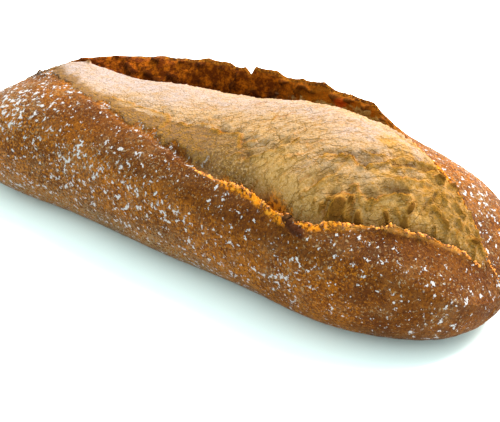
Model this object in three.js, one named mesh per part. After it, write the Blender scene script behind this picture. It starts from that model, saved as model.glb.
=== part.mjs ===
/*
 * Country bread: an oblong hearth loaf, one long score burst open in the oven.
 *
 * The plain loaf is a row of rounded sections along X, fullest at mid height and flat underneath.
 * Between the ends of the score each section's top is redrawn: the near lip of crust, the trough
 * behind it, the dome of torn crumb, the crease at the foot of the ear, and the ear itself, the
 * flap of crust that the burst lifted along the far side.
 *
 * Millimetres. +X runs along the loaf to the end with the point of the score, +Y to the side with
 * the ear, +Z up. The origin is on the table under the middle of the loaf.
 */
import * as THREE from "three";

// ---- the plain loaf ----
const LENGTH = 308;
const HALF_LENGTH = LENGTH / 2;
const HALF_WIDTH = 53.5;
const CROWN_HEIGHT = 63.5; // top of the loaf as shaped, under the score
const BULGE_HEIGHT = 36; // where the walls stand out furthest
const TIP_HEIGHT = 19.5; // the two tips, above the table
const BASE_SINK = 6; // how far the round underside is pressed flat by the oven floor
const PLAN_BLUNTNESS = 6.4; // superellipse powers: the plan is blunt at its ends
const PLAN_ROUNDNESS = 2.05;
const SECTION_ROUNDNESS = 2.48;
const CROWN_FALL = 2.3; // the crown drops to the tips faster than the sides close in

// Slight swellings and hollows of a hand-shaped loaf: middle, half reach and size along X.
const NEAR_SWELLS = [
  { at: -118, reach: 22, size: 1.5 },
  { at: -58, reach: 36, size: -4.2 },
  { at: 92, reach: 30, size: 3.8 },
];
const FAR_SWELLS = [
  { at: -90, reach: 30, size: 2 },
  { at: 35, reach: 35, size: 1.5 },
];
const CROWN_SWELLS = [
  { at: -116, reach: 26, size: -1.8 },
  { at: 85, reach: 40, size: -1 },
];

// ---- the score ----
const SCORE_START = -122;
const SCORE_END = 147;
const SCORE_TIP = 8; // the burst's relief fades in over this much at each end
const WIDE_BAND = 40; // lip, trough and ear have their full width where the score is this wide
const NARROWEST_HALF = 4; // the band of columns keeps this half width past the score's ends

// Both edges of the score in plan, [x, y]: the near lip and the rim of the ear.
const NEAR_LIP = [
  [SCORE_START, 3],
  [-108, -7],
  [-80, -18],
  [-23, -33],
  [22, -42],
  [52, -43.5],
  [74, -49],
  [88, -47],
  [110, -36],
  [130, -20],
  [SCORE_END, -3],
];
const EAR_RIM = [
  [SCORE_START, 5],
  [-97, 20],
  [-60, 30],
  [0, 34.5],
  [50, 36],
  [88, 30],
  [121, 14],
  [SCORE_END, -2],
];

const EAR_LIFT = 12; // ear rim above the plain loaf
const FAR_LIP_LIFT = 1.5; // the same edge where no ear has risen
const EAR_FOOT = 7; // the crease lies this far in from the rim
const FOOT_SWELLS = [{ at: -60, reach: 30, size: 11 }]; // further in where the ear leans back
const EAR_THICKNESS = 2.2;
const RIM_SLANT = 0.4; // the rim's outer edge is this much lower
const EAR_BACK = { in: 0.1, up: 0.4 }; // the back of the ear follows it by these shares
const CREASE_DEPTH = 8;
const SHALLOW_CREASE = 0.8; // share of that depth which is lost past the ear's end
const TROUGH_DEPTH = 6;
const TROUGH_WIDTH = 4;
const LIP_LIFT = 1.5;
const LIP_THICKNESS = 1.6;
const LIP_SLANT = 0.6; // the lip's torn edge is this much lower
const POINT_SWELLS = [{ at: -112, reach: 12, size: 1.6 }]; // the folded point of crust
const PLATEAU_LIFT = 3; // dome above the plain loaf in its quiet half
const PLATEAU_SWELLS = [{ at: -60, reach: 27, size: -4 }];
const SWELL_LIFT = 13; // further lift where it burst open
const SWELL_PEAK = 60; // the lift lessens from here to the score's point
const SWELL_FALL = 0.75;
const LEAST_FULL = 0.2; // how full the dome's near side is in its quiet half
const CREST_SHARE = 0.6; // place of the dome's crest between trough and crease

// The dome's near side in three points: share of the way across, and share of the way up where
// the dome is flat and where it is full.
const RISE = [
  { across: 0.1, flat: 0.13, full: 0.42 },
  { across: 0.32, flat: 0.38, full: 0.74 },
  { across: 0.64, flat: 0.76, full: 0.94 },
];
// Its far side: share of the way from the crest to the crease, and share of the way down.
const FALL = [
  { across: 0.45, down: 0.1 },
  { across: 0.78, down: 0.38 },
];
// The ear's inner face: share of the way from the crease to the rim, and share of the way up.
const EAR_FACE = [
  { across: 0.37, up: 0.22 },
  { across: 0.66, up: 0.72 },
];
const OUTER_EAR = 0.3; // the ear's back meets the far wall between these shares of the way down
const FAR_JOIN = 0.62;

// Where along X each feature starts to grow, and where it is complete; or starts to fade.
const REACHES = {
  ear: [-112, 10],
  earEnd: [58, 97],
  farLip: [-115, -100],
  crease: [-118, -40],
  creaseEnd: [55, 95],
  plateau: [SCORE_START, -95],
  opening: [-12, 74],
  fullness: [-50, 55],
  trough: [22, 70],
  lip: [30, 60],
  lipEdge: [15, 50],
  scoreEnd: [122, SCORE_END],
};

// ---- what the burst tore ----
// Ledges across the dome, each from one point to another in plan: a thin sheet that ends.
const LEDGES = [
  { from: [-4, -22], to: [33, -23], height: 1, reach: 5 },
  { from: [43, -33], to: [60, -22], height: 1.9, reach: 7 },
  { from: [75, -29], to: [96, -20], height: 1.4, reach: 5 },
  { from: [78, -39], to: [87, -28], height: 1.5, reach: 5 },
  { from: [92, -23], to: [113, -3], height: 2.2, reach: 8 },
  { from: [101, -31], to: [116, -17], height: 2.4, reach: 5 },
];
// Burst bubbles in plan, and how deep each one goes.
const PITS = [
  { at: [92, -38], radius: 4, depth: 2.6 },
  { at: [116, -23], radius: 3, depth: 1.8 },
  { at: [76, -45], radius: 5, depth: 2.5 },
  { at: [131, 0], radius: 3.5, depth: 1.5 },
];
const EAR_NOTCH = { at: -2, reach: 3, depth: 4.5 };

// Waves that make lip, rim and crust uneven: length along the loaf, size and phase.
const RIM_WAVES = [
  { length: 31, size: 0.7, phase: 0.4 },
  { length: 13.7, size: 0.5, phase: 2.1 },
];
const LIP_WAVES = [
  { length: 23, size: 0.5, phase: 1.3 },
  { length: 10.9, size: 0.45, phase: 4.2 },
];
const CRUST_WAVES = [
  { length: 61, around: 2, size: 0.4, phase: 0.9 },
  { length: 34, around: 5, size: 0.2, phase: 3.7 },
];
const DOME_WAVES = [
  { length: 26, across: -19, size: 0.35, phase: 1.1 },
  { length: 15, across: -11, size: 0.25, phase: 2.8 },
];

// ---- how finely the solid is cut ----
const STATIONS = 90; // sections along X
const STRAIGHT_SHARE = 0.85; // sections are evenly spaced up to here and crowd together past it
const BASE_COLUMNS = 3; // on each side of the middle of the base
const WALL_COLUMNS = 9;
const SCORE_COLUMNS = [1, 2, 2, 4, 5, 5, 4, 3, 2, 2, 2, 2, 1, 3, 2]; // between the score's points
const DOME_POINTS = [2, 9]; // the dome lies between these of the score's points
const WALL_LEAD = 0.12; // radians of wall that steer the curve into and out of the score

// ---- looks ----
const CRUST = new THREE.MeshStandardMaterial({
  color: 0x9c6a33,
  roughness: 0.72,
  metalness: 0,
});

/** 0 below one value, 1 above the other, and smooth between them. */
function ease(from, to, x) {
  const t = THREE.MathUtils.clamp((x - from) / (to - from), 0, 1);
  return t * t * (3 - 2 * t);
}

/** The signed power that draws superellipses. */
function power(value, exponent) {
  return Math.sign(value) * Math.abs(value) ** exponent;
}

/** The sum of bell-shaped swellings at x. */
function swell(list, x) {
  return list.reduce((sum, s) => sum + s.size * Math.exp(-(((x - s.at) / s.reach) ** 2)), 0);
}

/** The sum of waves along x, each turned by its own angle as well. */
function waves(list, x, angleOf) {
  return list.reduce(
    (sum, w) => sum + w.size * Math.sin((2 * Math.PI * x) / w.length + w.phase + angleOf(w)),
    0,
  );
}

/** A smooth line y(x) through a few points, level with the mean slope at each of them. */
function lineThrough(points) {
  const slope = points.map(([x, y], i) => {
    const [x0, y0] = points[Math.max(i - 1, 0)];
    const [x1, y1] = points[Math.min(i + 1, points.length - 1)];
    return (y1 - y0) / (x1 - x0);
  });
  return (x) => {
    const at = THREE.MathUtils.clamp(x, points[0][0], points[points.length - 1][0]);
    const next = points.findIndex(([px], k) => k > 0 && px >= at);
    const [x0, y0] = points[next - 1];
    const [x1, y1] = points[next];
    const span = x1 - x0;
    const t = (at - x0) / span;
    const rise = y1 - y0;
    const bend0 = slope[next - 1] * span - rise;
    const bend1 = rise - slope[next] * span;
    return y0 + rise * t + t * (1 - t) * (bend0 * (1 - t) + bend1 * t);
  };
}

const nearLipLine = lineThrough(NEAR_LIP);
const earRimLine = lineThrough(EAR_RIM);

/** How full the loaf is at x: 1 over most of its length, 0 at the tips. */
function fullness(x) {
  const t = Math.abs(x / HALF_LENGTH);
  return Math.max(1 - t ** PLAN_BLUNTNESS, 0) ** (1 / PLAN_ROUNDNESS);
}

/** Half width at x, of the side where y is negative (near) or positive (far). */
function halfWidth(x, side) {
  const extra = swell(side < 0 ? NEAR_SWELLS : FAR_SWELLS, x);
  return (HALF_WIDTH + extra) * fullness(x);
}

function crownHeight(x) {
  const rise = CROWN_HEIGHT + swell(CROWN_SWELLS, x) - TIP_HEIGHT;
  return TIP_HEIGHT + rise * fullness(x) ** CROWN_FALL;
}

/** A point [y, z] of the plain section at x; angle 0 is the crown and +-PI the base's middle. */
function plainPoint(x, angle) {
  const full = fullness(x);
  const bulge = TIP_HEIGHT + (BULGE_HEIGHT - TIP_HEIGHT) * full;
  const share = Math.abs(Math.cos(angle)) ** (2 / SECTION_ROUNDNESS);
  const above = Math.cos(angle) >= 0;
  const z = above
    ? bulge + (crownHeight(x) - bulge) * share
    : bulge - (BULGE_HEIGHT + BASE_SINK) * full * share;
  const y = halfWidth(x, angle) * power(Math.sin(angle), 2 / SECTION_ROUNDNESS);
  return [y, Math.max(z, 0)];
}

/** The angle at which the upper half of the plain section reaches y. */
function angleAt(x, y) {
  const share = THREE.MathUtils.clamp(y / halfWidth(x, y), -1, 1);
  return Math.asin(power(share, SECTION_ROUNDNESS / 2));
}

/** The angle at which the section meets the table, or nearly the lowest one near the tips. */
function footAngle(x) {
  const full = fullness(x);
  const bulge = TIP_HEIGHT + (BULGE_HEIGHT - TIP_HEIGHT) * full;
  const share = bulge / ((BULGE_HEIGHT + BASE_SINK) * full);
  const steepest = 0.98;
  return Math.PI - Math.acos(Math.min(share, steepest) ** (SECTION_ROUNDNESS / 2));
}

/** How far a feature of the burst has grown at x, from 0 to 1. */
function grown(feature, x) {
  return ease(...REACHES[feature], x);
}

/** The scored zone at x: its near and far edges, and how strongly the burst shows. */
function scoreBand(x) {
  const inside = THREE.MathUtils.clamp(x, SCORE_START, SCORE_END);
  const narrowing = fullness(x) / fullness(inside);
  const lip = nearLipLine(inside);
  const rim = earRimLine(inside);
  const middle = ((lip + rim) / 2) * narrowing;
  const half = Math.max((rim - lip) / 2, NARROWEST_HALF) * narrowing;
  return {
    inside,
    near: middle - half,
    far: middle + half,
    weight: ease(0, SCORE_TIP, Math.min(x - SCORE_START, SCORE_END - x)),
  };
}

/** Sizes of the burst at x: heights above or below the plain loaf, and the width of the ear's foot. */
function burst(x) {
  const toPoint = 1 - grown("scoreEnd", x);
  const toEnd = THREE.MathUtils.clamp((x - SWELL_PEAK) / (SCORE_END - SWELL_PEAK), 0, 1);
  const swollen = grown("opening", x) * (1 - toEnd ** 2) ** SWELL_FALL;
  const lipOpen = grown("trough", x) * toPoint;
  const notch = EAR_NOTCH.depth * Math.max(0, 1 - Math.abs(x - EAR_NOTCH.at) / EAR_NOTCH.reach);
  const risen = grown("ear", x) * (1 - grown("earEnd", x));
  const rimWave = waves(RIM_WAVES, x, () => 0) - notch;
  const lipWave = waves(LIP_WAVES, x, () => 0) * lipOpen;
  const deep = grown("crease", x) * (1 - SHALLOW_CREASE * grown("creaseEnd", x));
  return {
    ear: (EAR_LIFT + rimWave) * risen + FAR_LIP_LIFT * grown("farLip", x) * toPoint,
    foot: EAR_FOOT + swell(FOOT_SWELLS, x),
    crease: CREASE_DEPTH * deep * toPoint,
    dome:
      PLATEAU_LIFT * grown("plateau", x) * toPoint +
      swell(PLATEAU_SWELLS, x) +
      SWELL_LIFT * swollen,
    full: LEAST_FULL + (1 - LEAST_FULL) * grown("fullness", x),
    trough: TROUGH_DEPTH * lipOpen,
    lip: swell(POINT_SWELLS, x) + LIP_LIFT * grown("lip", x) * toPoint + lipWave,
    lipEdge: LIP_SLANT * grown("lipEdge", x) * toPoint,
  };
}

/** The control points of the scored top at x, from the near lip to the far wall. */
function scorePoints(x) {
  const { inside, near, far, weight } = scoreBand(x);
  const size = burst(inside);
  const thin = Math.min(1, (far - near) / WIDE_BAND);

  const lipZ = plainPoint(x, angleAt(x, near))[1];
  const rimZ = plainPoint(x, angleAt(x, far))[1];
  const trough = [near + TROUGH_WIDTH * thin, lipZ - size.trough];
  const crease = [far - size.foot * thin, rimZ - size.crease];
  const crest = [near + CREST_SHARE * (far - near), crownHeight(x) + size.dome];
  const rim = rimZ + size.ear;
  const farAngle = angleAt(x, far);
  const down = (share) => farAngle + (Math.PI / 2 - farAngle) * share;
  const back = plainPoint(x, down(OUTER_EAR));

  const torn = [
    [near, lipZ + size.lip],
    [near + LIP_THICKNESS * thin, lipZ + size.lip - size.lipEdge],
    trough,
    ...RISE.map((r) => [
      trough[0] + (crest[0] - trough[0]) * r.across,
      trough[1] + (crest[1] - trough[1]) * (r.flat + (r.full - r.flat) * size.full),
    ]),
    crest,
    ...FALL.map((f) => [
      crest[0] + (crease[0] - crest[0]) * f.across,
      crest[1] + (crease[1] - crest[1]) * f.down,
    ]),
    crease,
    ...EAR_FACE.map((e) => [
      crease[0] + (far - crease[0]) * e.across,
      crease[1] + (rim - crease[1]) * e.up,
    ]),
    [far - (EAR_THICKNESS / 2) * thin, rim],
    [far + (EAR_THICKNESS / 2) * thin, rim - RIM_SLANT * thin],
    [back[0] - EAR_BACK.in * size.ear, back[1] + EAR_BACK.up * size.ear],
    plainPoint(x, down(FAR_JOIN)),
  ];
  const last = torn.length - 1;
  const wallAngles = { [last]: down(FAR_JOIN), [last - 1]: down(OUTER_EAR) };
  return torn.map(([y, z], i) => {
    const across = THREE.MathUtils.clamp((y - near) / (far - near), i / 100, 1);
    const [y0, z0] = plainPoint(x, wallAngles[i] ?? angleAt(x, near + (far - near) * across));
    return [y0 + (y - y0) * weight, z0 + (z - z0) * weight];
  });
}

/** Points of the curve through the score's control points, the last one left out. */
function scoreLine(x, points, nearAngle, farAngle) {
  const guides = [
    plainPoint(x, nearAngle - WALL_LEAD),
    ...points,
    plainPoint(x, farAngle + WALL_LEAD),
  ].map(([y, z]) => new THREE.Vector3(0, y, z));
  const line = [];
  SCORE_COLUMNS.forEach((steps, i) => {
    const [before, start, end, after] = guides.slice(i, i + 4);
    for (let k = 0; k < steps; k += 1) {
      const t = k / steps;
      const bend = (a, b, c, d) =>
        b + 0.5 * t * (c - a + t * (2 * a - 5 * b + 4 * c - d + t * (3 * (b - c) + d - a)));
      line.push([
        bend(before.y, start.y, end.y, after.y),
        bend(before.z, start.z, end.z, after.z),
      ]);
    }
  });
  return line;
}

/** How far the torn surface stands out at a point of the dome, from ledges, pits and waves. */
function tornRelief(x, y) {
  let out = waves(DOME_WAVES, x, (w) => (2 * Math.PI * y) / w.across);
  for (const { from, to, height, reach } of LEDGES) {
    const run = [to[0] - from[0], to[1] - from[1]];
    const length = Math.hypot(...run);
    const along = ((x - from[0]) * run[0] + (y - from[1]) * run[1]) / length;
    const beyond = ((y - from[1]) * run[0] - (x - from[0]) * run[1]) / length;
    const within = ease(-3, 4, Math.min(along, length - along));
    out += height * within * ease(-1, 1, beyond) * (1 - ease(1, reach, beyond));
  }
  for (const { at, radius, depth } of PITS) {
    const distance = Math.hypot(x - at[0], y - at[1]);
    out -= depth * (1 - ease(radius * 0.4, radius * 1.25, distance));
  }
  return out;
}

/** The closed section line at x as [y, z] points, from the middle of the base round the near side. */
function sectionLine(x) {
  const { near, far, weight } = scoreBand(x);
  const nearAngle = angleAt(x, near);
  const rimAngle = angleAt(x, far);
  const farAngle = rimAngle + (Math.PI / 2 - rimAngle) * FAR_JOIN;
  const foot = footAngle(x);

  const line = [];
  const wall = (from, to, steps) => {
    for (let k = 0; k < steps; k += 1) {
      line.push({ point: plainPoint(x, from + ((to - from) * k) / steps), crust: true });
    }
  };
  wall(-Math.PI, -foot, BASE_COLUMNS);
  wall(-foot, nearAngle, WALL_COLUMNS);
  const top = scoreLine(x, scorePoints(x), nearAngle, farAngle);
  const [domeStart, domeEnd] = DOME_POINTS.map((count) =>
    SCORE_COLUMNS.slice(0, count).reduce((a, b) => a + b),
  );
  top.forEach((point, k) => line.push({ point, crust: k < domeStart || k > domeEnd }));
  wall(farAngle, foot, WALL_COLUMNS);
  wall(foot, Math.PI, BASE_COLUMNS);

  return line.map(({ point, crust }, k) => {
    const [y, z] = point;
    if (z <= 0) return [y, 0];
    const before = line[(k + line.length - 1) % line.length].point;
    const after = line[(k + 1) % line.length].point;
    const normal = new THREE.Vector2(before[1] - after[1], after[0] - before[0]).normalize();
    const angle = Math.atan2(y, z - BULGE_HEIGHT);
    const torn = crust ? 0 : weight;
    const wave = waves(CRUST_WAVES, x, (w) => w.around * angle) * fullness(x) * ease(0, 12, z);
    const out = wave * (1 - torn) + (torn > 0 ? tornRelief(x, y) * torn : 0);
    return [y + normal.x * out, Math.max(z + normal.y * out, 0)];
  });
}

/** Where each section stands along X; they crowd together towards the blunt tips. */
function stationPositions() {
  const squeeze = 1 / (1 - STRAIGHT_SHARE ** 2);
  const positions = [];
  for (let k = 1; k < STATIONS; k += 1) {
    const u = (2 * k) / STATIONS - 1;
    const a = Math.abs(u);
    const share =
      a < STRAIGHT_SHARE ? 2 * squeeze * (1 - STRAIGHT_SHARE) * a : 1 - squeeze * (1 - a) ** 2;
    positions.push(HALF_LENGTH * Math.sign(u) * share);
  }
  return positions;
}

/** The loaf's closed surface: a grid round and along it, and a fan on each tip. */
function loafGeometry() {
  const stations = stationPositions();
  const sections = stations.map(sectionLine);
  const columns = sections[0].length;
  const vertices = [];
  sections.forEach((section, i) => {
    section.forEach(([y, z]) => vertices.push(stations[i], y, z));
  });
  const startTip = stations.length * columns;
  const endTip = startTip + 1;
  vertices.push(-HALF_LENGTH, 0, TIP_HEIGHT);
  vertices.push(HALF_LENGTH, 0, TIP_HEIGHT);

  const faces = [];
  for (let j = 0; j < columns; j += 1) {
    const next = (j + 1) % columns;
    faces.push(startTip, j, next);
    for (let i = 0; i < stations.length - 1; i += 1) {
      const a = i * columns + j;
      const b = i * columns + next;
      const c = a + columns;
      const d = b + columns;
      faces.push(a, c, d);
      faces.push(a, d, b);
    }
    const last = (stations.length - 1) * columns;
    faces.push(endTip, last + next, last + j);
  }
  const geometry = new THREE.BufferGeometry();
  geometry.setAttribute("position", new THREE.Float32BufferAttribute(vertices, 3));
  geometry.setIndex(faces);
  geometry.computeVertexNormals();
  return geometry;
}

const loaf = new THREE.Mesh(loafGeometry(), CRUST);
loaf.name = "loaf";

const bread = new THREE.Group();
bread.add(loaf);

export default bread;
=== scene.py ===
"""Country bread: the looks of an oblong hearth loaf whose score burst open in the oven.

The loaf is one skin, swept along X from the same sizes as the solid that it stands for, and then
roughened in the mesh itself: crust that wrinkles and blisters, a ragged lip, torn sheets, strands
and burst bubbles in the crumb, and the porous inner face of the ear. Each point of the skin also
carries what the baker would see there (how torn, how deep, how toasted, how floury), and the
finishes paint from that. Sizes are in millimetres until the mesh is made in metres.
"""

import logging
import math
from dataclasses import dataclass, replace
from enum import Enum
from itertools import product
from typing import Callable, Sequence

import bmesh
import bpy
import numpy as np
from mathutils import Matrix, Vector


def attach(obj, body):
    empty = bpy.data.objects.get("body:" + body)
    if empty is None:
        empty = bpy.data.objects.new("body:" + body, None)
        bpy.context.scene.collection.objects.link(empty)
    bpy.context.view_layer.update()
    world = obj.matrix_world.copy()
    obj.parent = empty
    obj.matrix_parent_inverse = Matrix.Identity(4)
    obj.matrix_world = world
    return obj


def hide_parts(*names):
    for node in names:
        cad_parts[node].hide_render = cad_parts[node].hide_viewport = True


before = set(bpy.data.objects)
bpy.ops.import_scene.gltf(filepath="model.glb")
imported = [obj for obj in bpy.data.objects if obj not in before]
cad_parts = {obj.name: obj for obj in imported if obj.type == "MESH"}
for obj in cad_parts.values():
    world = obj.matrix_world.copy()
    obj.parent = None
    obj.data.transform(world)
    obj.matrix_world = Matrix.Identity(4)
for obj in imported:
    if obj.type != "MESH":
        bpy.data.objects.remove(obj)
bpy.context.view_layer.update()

LOG = logging.getLogger("country_bread")
METRES = 0.001
Array = np.ndarray
Line = Callable[[Array], Array]


# ---------------------------------------------------------------------------------------------
# Small helpers
# ---------------------------------------------------------------------------------------------


def linear(hex_colour: str) -> tuple[float, float, float, float]:
    """Turns an sRGB hex value into the linear colour that shaders take.

    Args:
        hex_colour: six hex digits, such as "C58A45".

    Returns:
        Red, green and blue, linear, and an alpha of 1.
    """
    channels = [int(hex_colour[i : i + 2], 16) / 255 for i in (0, 2, 4)]
    made = [c / 12.92 if c <= 0.04045 else ((c + 0.055) / 1.055) ** 2.4 for c in channels]
    return (made[0], made[1], made[2], 1.0)


def ease(low: float, high: float, x: Array) -> Array:
    """0 below low, 1 above high and smooth between them; low may be the larger one."""
    t = np.clip((np.asarray(x, float) - low) / (high - low), 0, 1)
    return t * t * (3 - 2 * t)


def bell(middle: float, reach: float, x: Array) -> Array:
    """1 at the middle, falling off to either side as a bell does."""
    return np.exp(-(((x - middle) / reach) ** 2))


def power(value: Array, exponent: float) -> Array:
    """The signed power that draws superellipses."""
    return np.sign(value) * np.abs(value) ** exponent


def line_through(points: Sequence[tuple[float, float]]) -> Line:
    """A smooth line y(x) through a few points, with the mean slope of its neighbours at each.

    Args:
        points: (x, y) pairs in order of x.

    Returns:
        The line, as a function of an array of x.
    """
    xs, ys = (np.array(column, float) for column in zip(*points))
    left = np.maximum(np.arange(len(xs)) - 1, 0)
    right = np.minimum(np.arange(len(xs)) + 1, len(xs) - 1)
    slopes = (ys[right] - ys[left]) / (xs[right] - xs[left])

    def line(x: Array) -> Array:
        """Follows the line, which is held level past its ends.

        Args:
            x: where to read it.

        Returns:
            Its y there.
        """
        at = np.clip(np.asarray(x, float), xs[0], xs[-1])
        i = np.clip(np.searchsorted(xs, at, side="left"), 1, len(xs) - 1)
        span = xs[i] - xs[i - 1]
        t = (at - xs[i - 1]) / span
        rise = ys[i] - ys[i - 1]
        bend_in = slopes[i - 1] * span - rise
        bend_out = rise - slopes[i] * span
        return ys[i - 1] + rise * t + t * (1 - t) * (bend_in * (1 - t) + bend_out * t)

    return line


@dataclass(frozen=True)
class Noise:
    """Seeded smooth noise over space, worked out for whole arrays of points at once.

    Attributes:
        seed: which noise it is; each use has its own.
        cells: how many random directions there are before they repeat.
        primes: what mixes a cell's three numbers into one.
    """

    seed: int
    cells: int = 4096
    primes: tuple[int, int, int] = (73856093, 19349663, 83492791)

    def at(self, x: Array, y: Array, z: Array | float = 0.0) -> Array:
        """Noise of one size, with a wavelength of about 1 in each direction.

        Args:
            x: place along X, in wavelengths.
            y: place along Y, likewise.
            z: place along Z, likewise.

        Returns:
            The noise, about -1 to 1.
        """
        x, y, z = np.broadcast_arrays(np.asarray(x, float), y, z)
        directions = np.random.default_rng(self.seed).normal(size=(self.cells, 3))
        directions /= np.linalg.norm(directions, axis=1, keepdims=True)
        cell = [np.floor(a).astype(np.int64) for a in (x, y, z)]
        inside = [a - c for a, c in zip((x, y, z), cell)]
        fade = [f**3 * (f * (f * 6 - 15) + 10) for f in inside]
        total = np.zeros(x.shape)
        for corner in product((0, 1), repeat=3):
            key = 0
            for c, k, prime in zip(cell, corner, self.primes):
                key = key ^ ((c + k) * prime)
            direction = directions[(key >> 3) % self.cells]
            dot = sum(direction[..., a] * (inside[a] - corner[a]) for a in range(3))
            weight = 1.0
            for a in range(3):
                weight = weight * (fade[a] if corner[a] else 1 - fade[a])
            total += weight * dot
        return total * 1.7

    def layered(
        self, x: Array, y: Array, z: Array | float = 0.0, octaves: int = 3, gain: float = 0.5
    ) -> Array:
        """Noise of several sizes, each half as long as the one before.

        Args:
            x: place along X, in wavelengths of the longest layer.
            y: place along Y, likewise.
            z: place along Z, likewise.
            octaves: how many layers.
            gain: each layer's size, as a share of the one before.

        Returns:
            The sum, about -1 to 1.
        """
        total, size, scale = 0.0, 1.0, 1.0
        for layer in range(octaves):
            other = Noise(self.seed + 101 * layer, self.cells)
            total = total + size * other.at(x * scale, y * scale, np.asarray(z) * scale)
            size *= gain
            scale *= 2.03
        return total

    def ridged(self, x: Array, y: Array, z: Array | float = 0.0, octaves: int = 2) -> Array:
        """Noise folded at 0, so that it runs in sharp crests.

        Args:
            x: place along X, in wavelengths of the longest layer.
            y: place along Y, likewise.
            z: place along Z, likewise.
            octaves: how many layers.

        Returns:
            The sum, about -1 to 1.
        """
        total, size, scale = 0.0, 0.7, 1.0
        for layer in range(octaves):
            other = Noise(self.seed + 57 * layer, self.cells)
            folded = 1 - 2.4 * np.abs(other.at(x * scale, y * scale, np.asarray(z) * scale))
            total = total + size * folded
            size *= 0.55
            scale *= 2.1
        return total


# ---------------------------------------------------------------------------------------------
# The loaf's form, as in the solid
# ---------------------------------------------------------------------------------------------


@dataclass(frozen=True)
class Swell:
    """A gentle swelling or hollow along X, in millimetres."""

    at: float
    reach: float
    size: float


@dataclass(frozen=True)
class Wave:
    """A wave along X that makes an edge uneven, in millimetres and radians."""

    length: float
    size: float
    phase: float


def swelling(swells: Sequence[Swell], x: Array) -> Array:
    """The sum of bell-shaped swellings at x."""
    return sum(s.size * bell(s.at, s.reach, x) for s in swells)


def waving(listed: Sequence[Wave], x: Array) -> Array:
    """The sum of waves at x."""
    return sum(w.size * np.sin(2 * np.pi * x / w.length + w.phase) for w in listed)


@dataclass(frozen=True)
class PlainLoaf:
    """The loaf as it was shaped, before the score opened.

    Attributes:
        length: from tip to tip.
        half_width: from the middle to either wall.
        crown: height of the top.
        bulge: height at which the walls stand out furthest.
        tip: height of the two tips.
        sink: how far the round underside is pressed flat.
        plan_bluntness: how blunt the ends are in plan.
        plan_roundness: how round their corners are.
        section_roundness: 2 for an ellipse, more for a squarer section.
        crown_fall: how soon the crown falls towards the tips.
        near: swellings and hollows of the near wall.
        far: those of the far wall.
        top: those of the crown.
    """

    length: float = 308.0
    half_width: float = 53.5
    crown: float = 63.5
    bulge: float = 36.0
    tip: float = 19.5
    sink: float = 6.0
    plan_bluntness: float = 6.4
    plan_roundness: float = 2.05
    section_roundness: float = 2.48
    crown_fall: float = 2.3
    near: tuple[Swell, ...] = (Swell(-118, 22, 1.5), Swell(-58, 36, -4.2), Swell(92, 30, 3.8))
    far: tuple[Swell, ...] = (Swell(-90, 30, 2.0), Swell(35, 35, 1.5))
    top: tuple[Swell, ...] = (Swell(-116, 26, -1.8), Swell(85, 40, -1.0))

    def fullness(self, x: Array) -> Array:
        """1 over most of the length, 0 at the tips."""
        t = np.abs(x / (self.length / 2))
        return np.maximum(1 - t**self.plan_bluntness, 0) ** (1 / self.plan_roundness)

    def half_width_at(self, x: Array, side: Array) -> Array:
        """Half width at x, of the near side where side is negative, otherwise the far one."""
        extra = np.where(side < 0, swelling(self.near, x), swelling(self.far, x))
        return np.maximum((self.half_width + extra) * self.fullness(x), 1e-6)

    def crown_at(self, x: Array) -> Array:
        """Height of the plain top at x."""
        rise = self.crown + swelling(self.top, x) - self.tip
        return self.tip + rise * self.fullness(x) ** self.crown_fall

    def bulge_at(self, x: Array) -> Array:
        """Height of the widest place at x."""
        return self.tip + (self.bulge - self.tip) * self.fullness(x)

    def point(self, x: Array, angle: Array) -> tuple[Array, Array]:
        """A point of the plain section.

        Args:
            x: place along the loaf.
            angle: 0 at the crown, plus or minus pi in the middle of the base.

        Returns:
            Its y and z.
        """
        bulge = self.bulge_at(x)
        share = np.abs(np.cos(angle)) ** (2 / self.section_roundness)
        above = bulge + (self.crown_at(x) - bulge) * share
        below = bulge - (self.bulge + self.sink) * self.fullness(x) * share
        y = self.half_width_at(x, angle) * power(np.sin(angle), 2 / self.section_roundness)
        return y, np.maximum(np.where(np.cos(angle) >= 0, above, below), 0)

    def angle_at(self, x: Array, y: Array) -> Array:
        """The angle at which the upper half of the section reaches y."""
        share = np.clip(y / self.half_width_at(x, y), -1, 1)
        return np.arcsin(power(share, self.section_roundness / 2))

    def foot_angle(self, x: Array) -> Array:
        """Finds where the section meets the table, or is nearly at its lowest by the tips.

        Args:
            x: place along the loaf.

        Returns:
            The angle there.
        """
        reach = np.maximum((self.bulge + self.sink) * self.fullness(x), 1e-6)
        share = np.minimum(self.bulge_at(x) / reach, 0.98)
        return np.pi - np.arccos(share ** (self.section_roundness / 2))


@dataclass(frozen=True)
class Burst:
    """Sizes of the opened score at each station, in millimetres.

    Attributes:
        ear: the ear's rim above the plain loaf.
        foot: how far the ear's foot lies inside its rim.
        crease: the crease at its foot below the plain loaf.
        dome: the dome's crest above the plain loaf.
        full: 0 where the dome's near flank is flat, 1 where it is full.
        trough: the trough behind the near lip below the plain loaf.
        lip: the near lip above the plain loaf.
        lip_edge: how far the lip's inner edge drops.
    """

    ear: Array
    foot: Array
    crease: Array
    dome: Array
    full: Array
    trough: Array
    lip: Array
    lip_edge: Array


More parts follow.
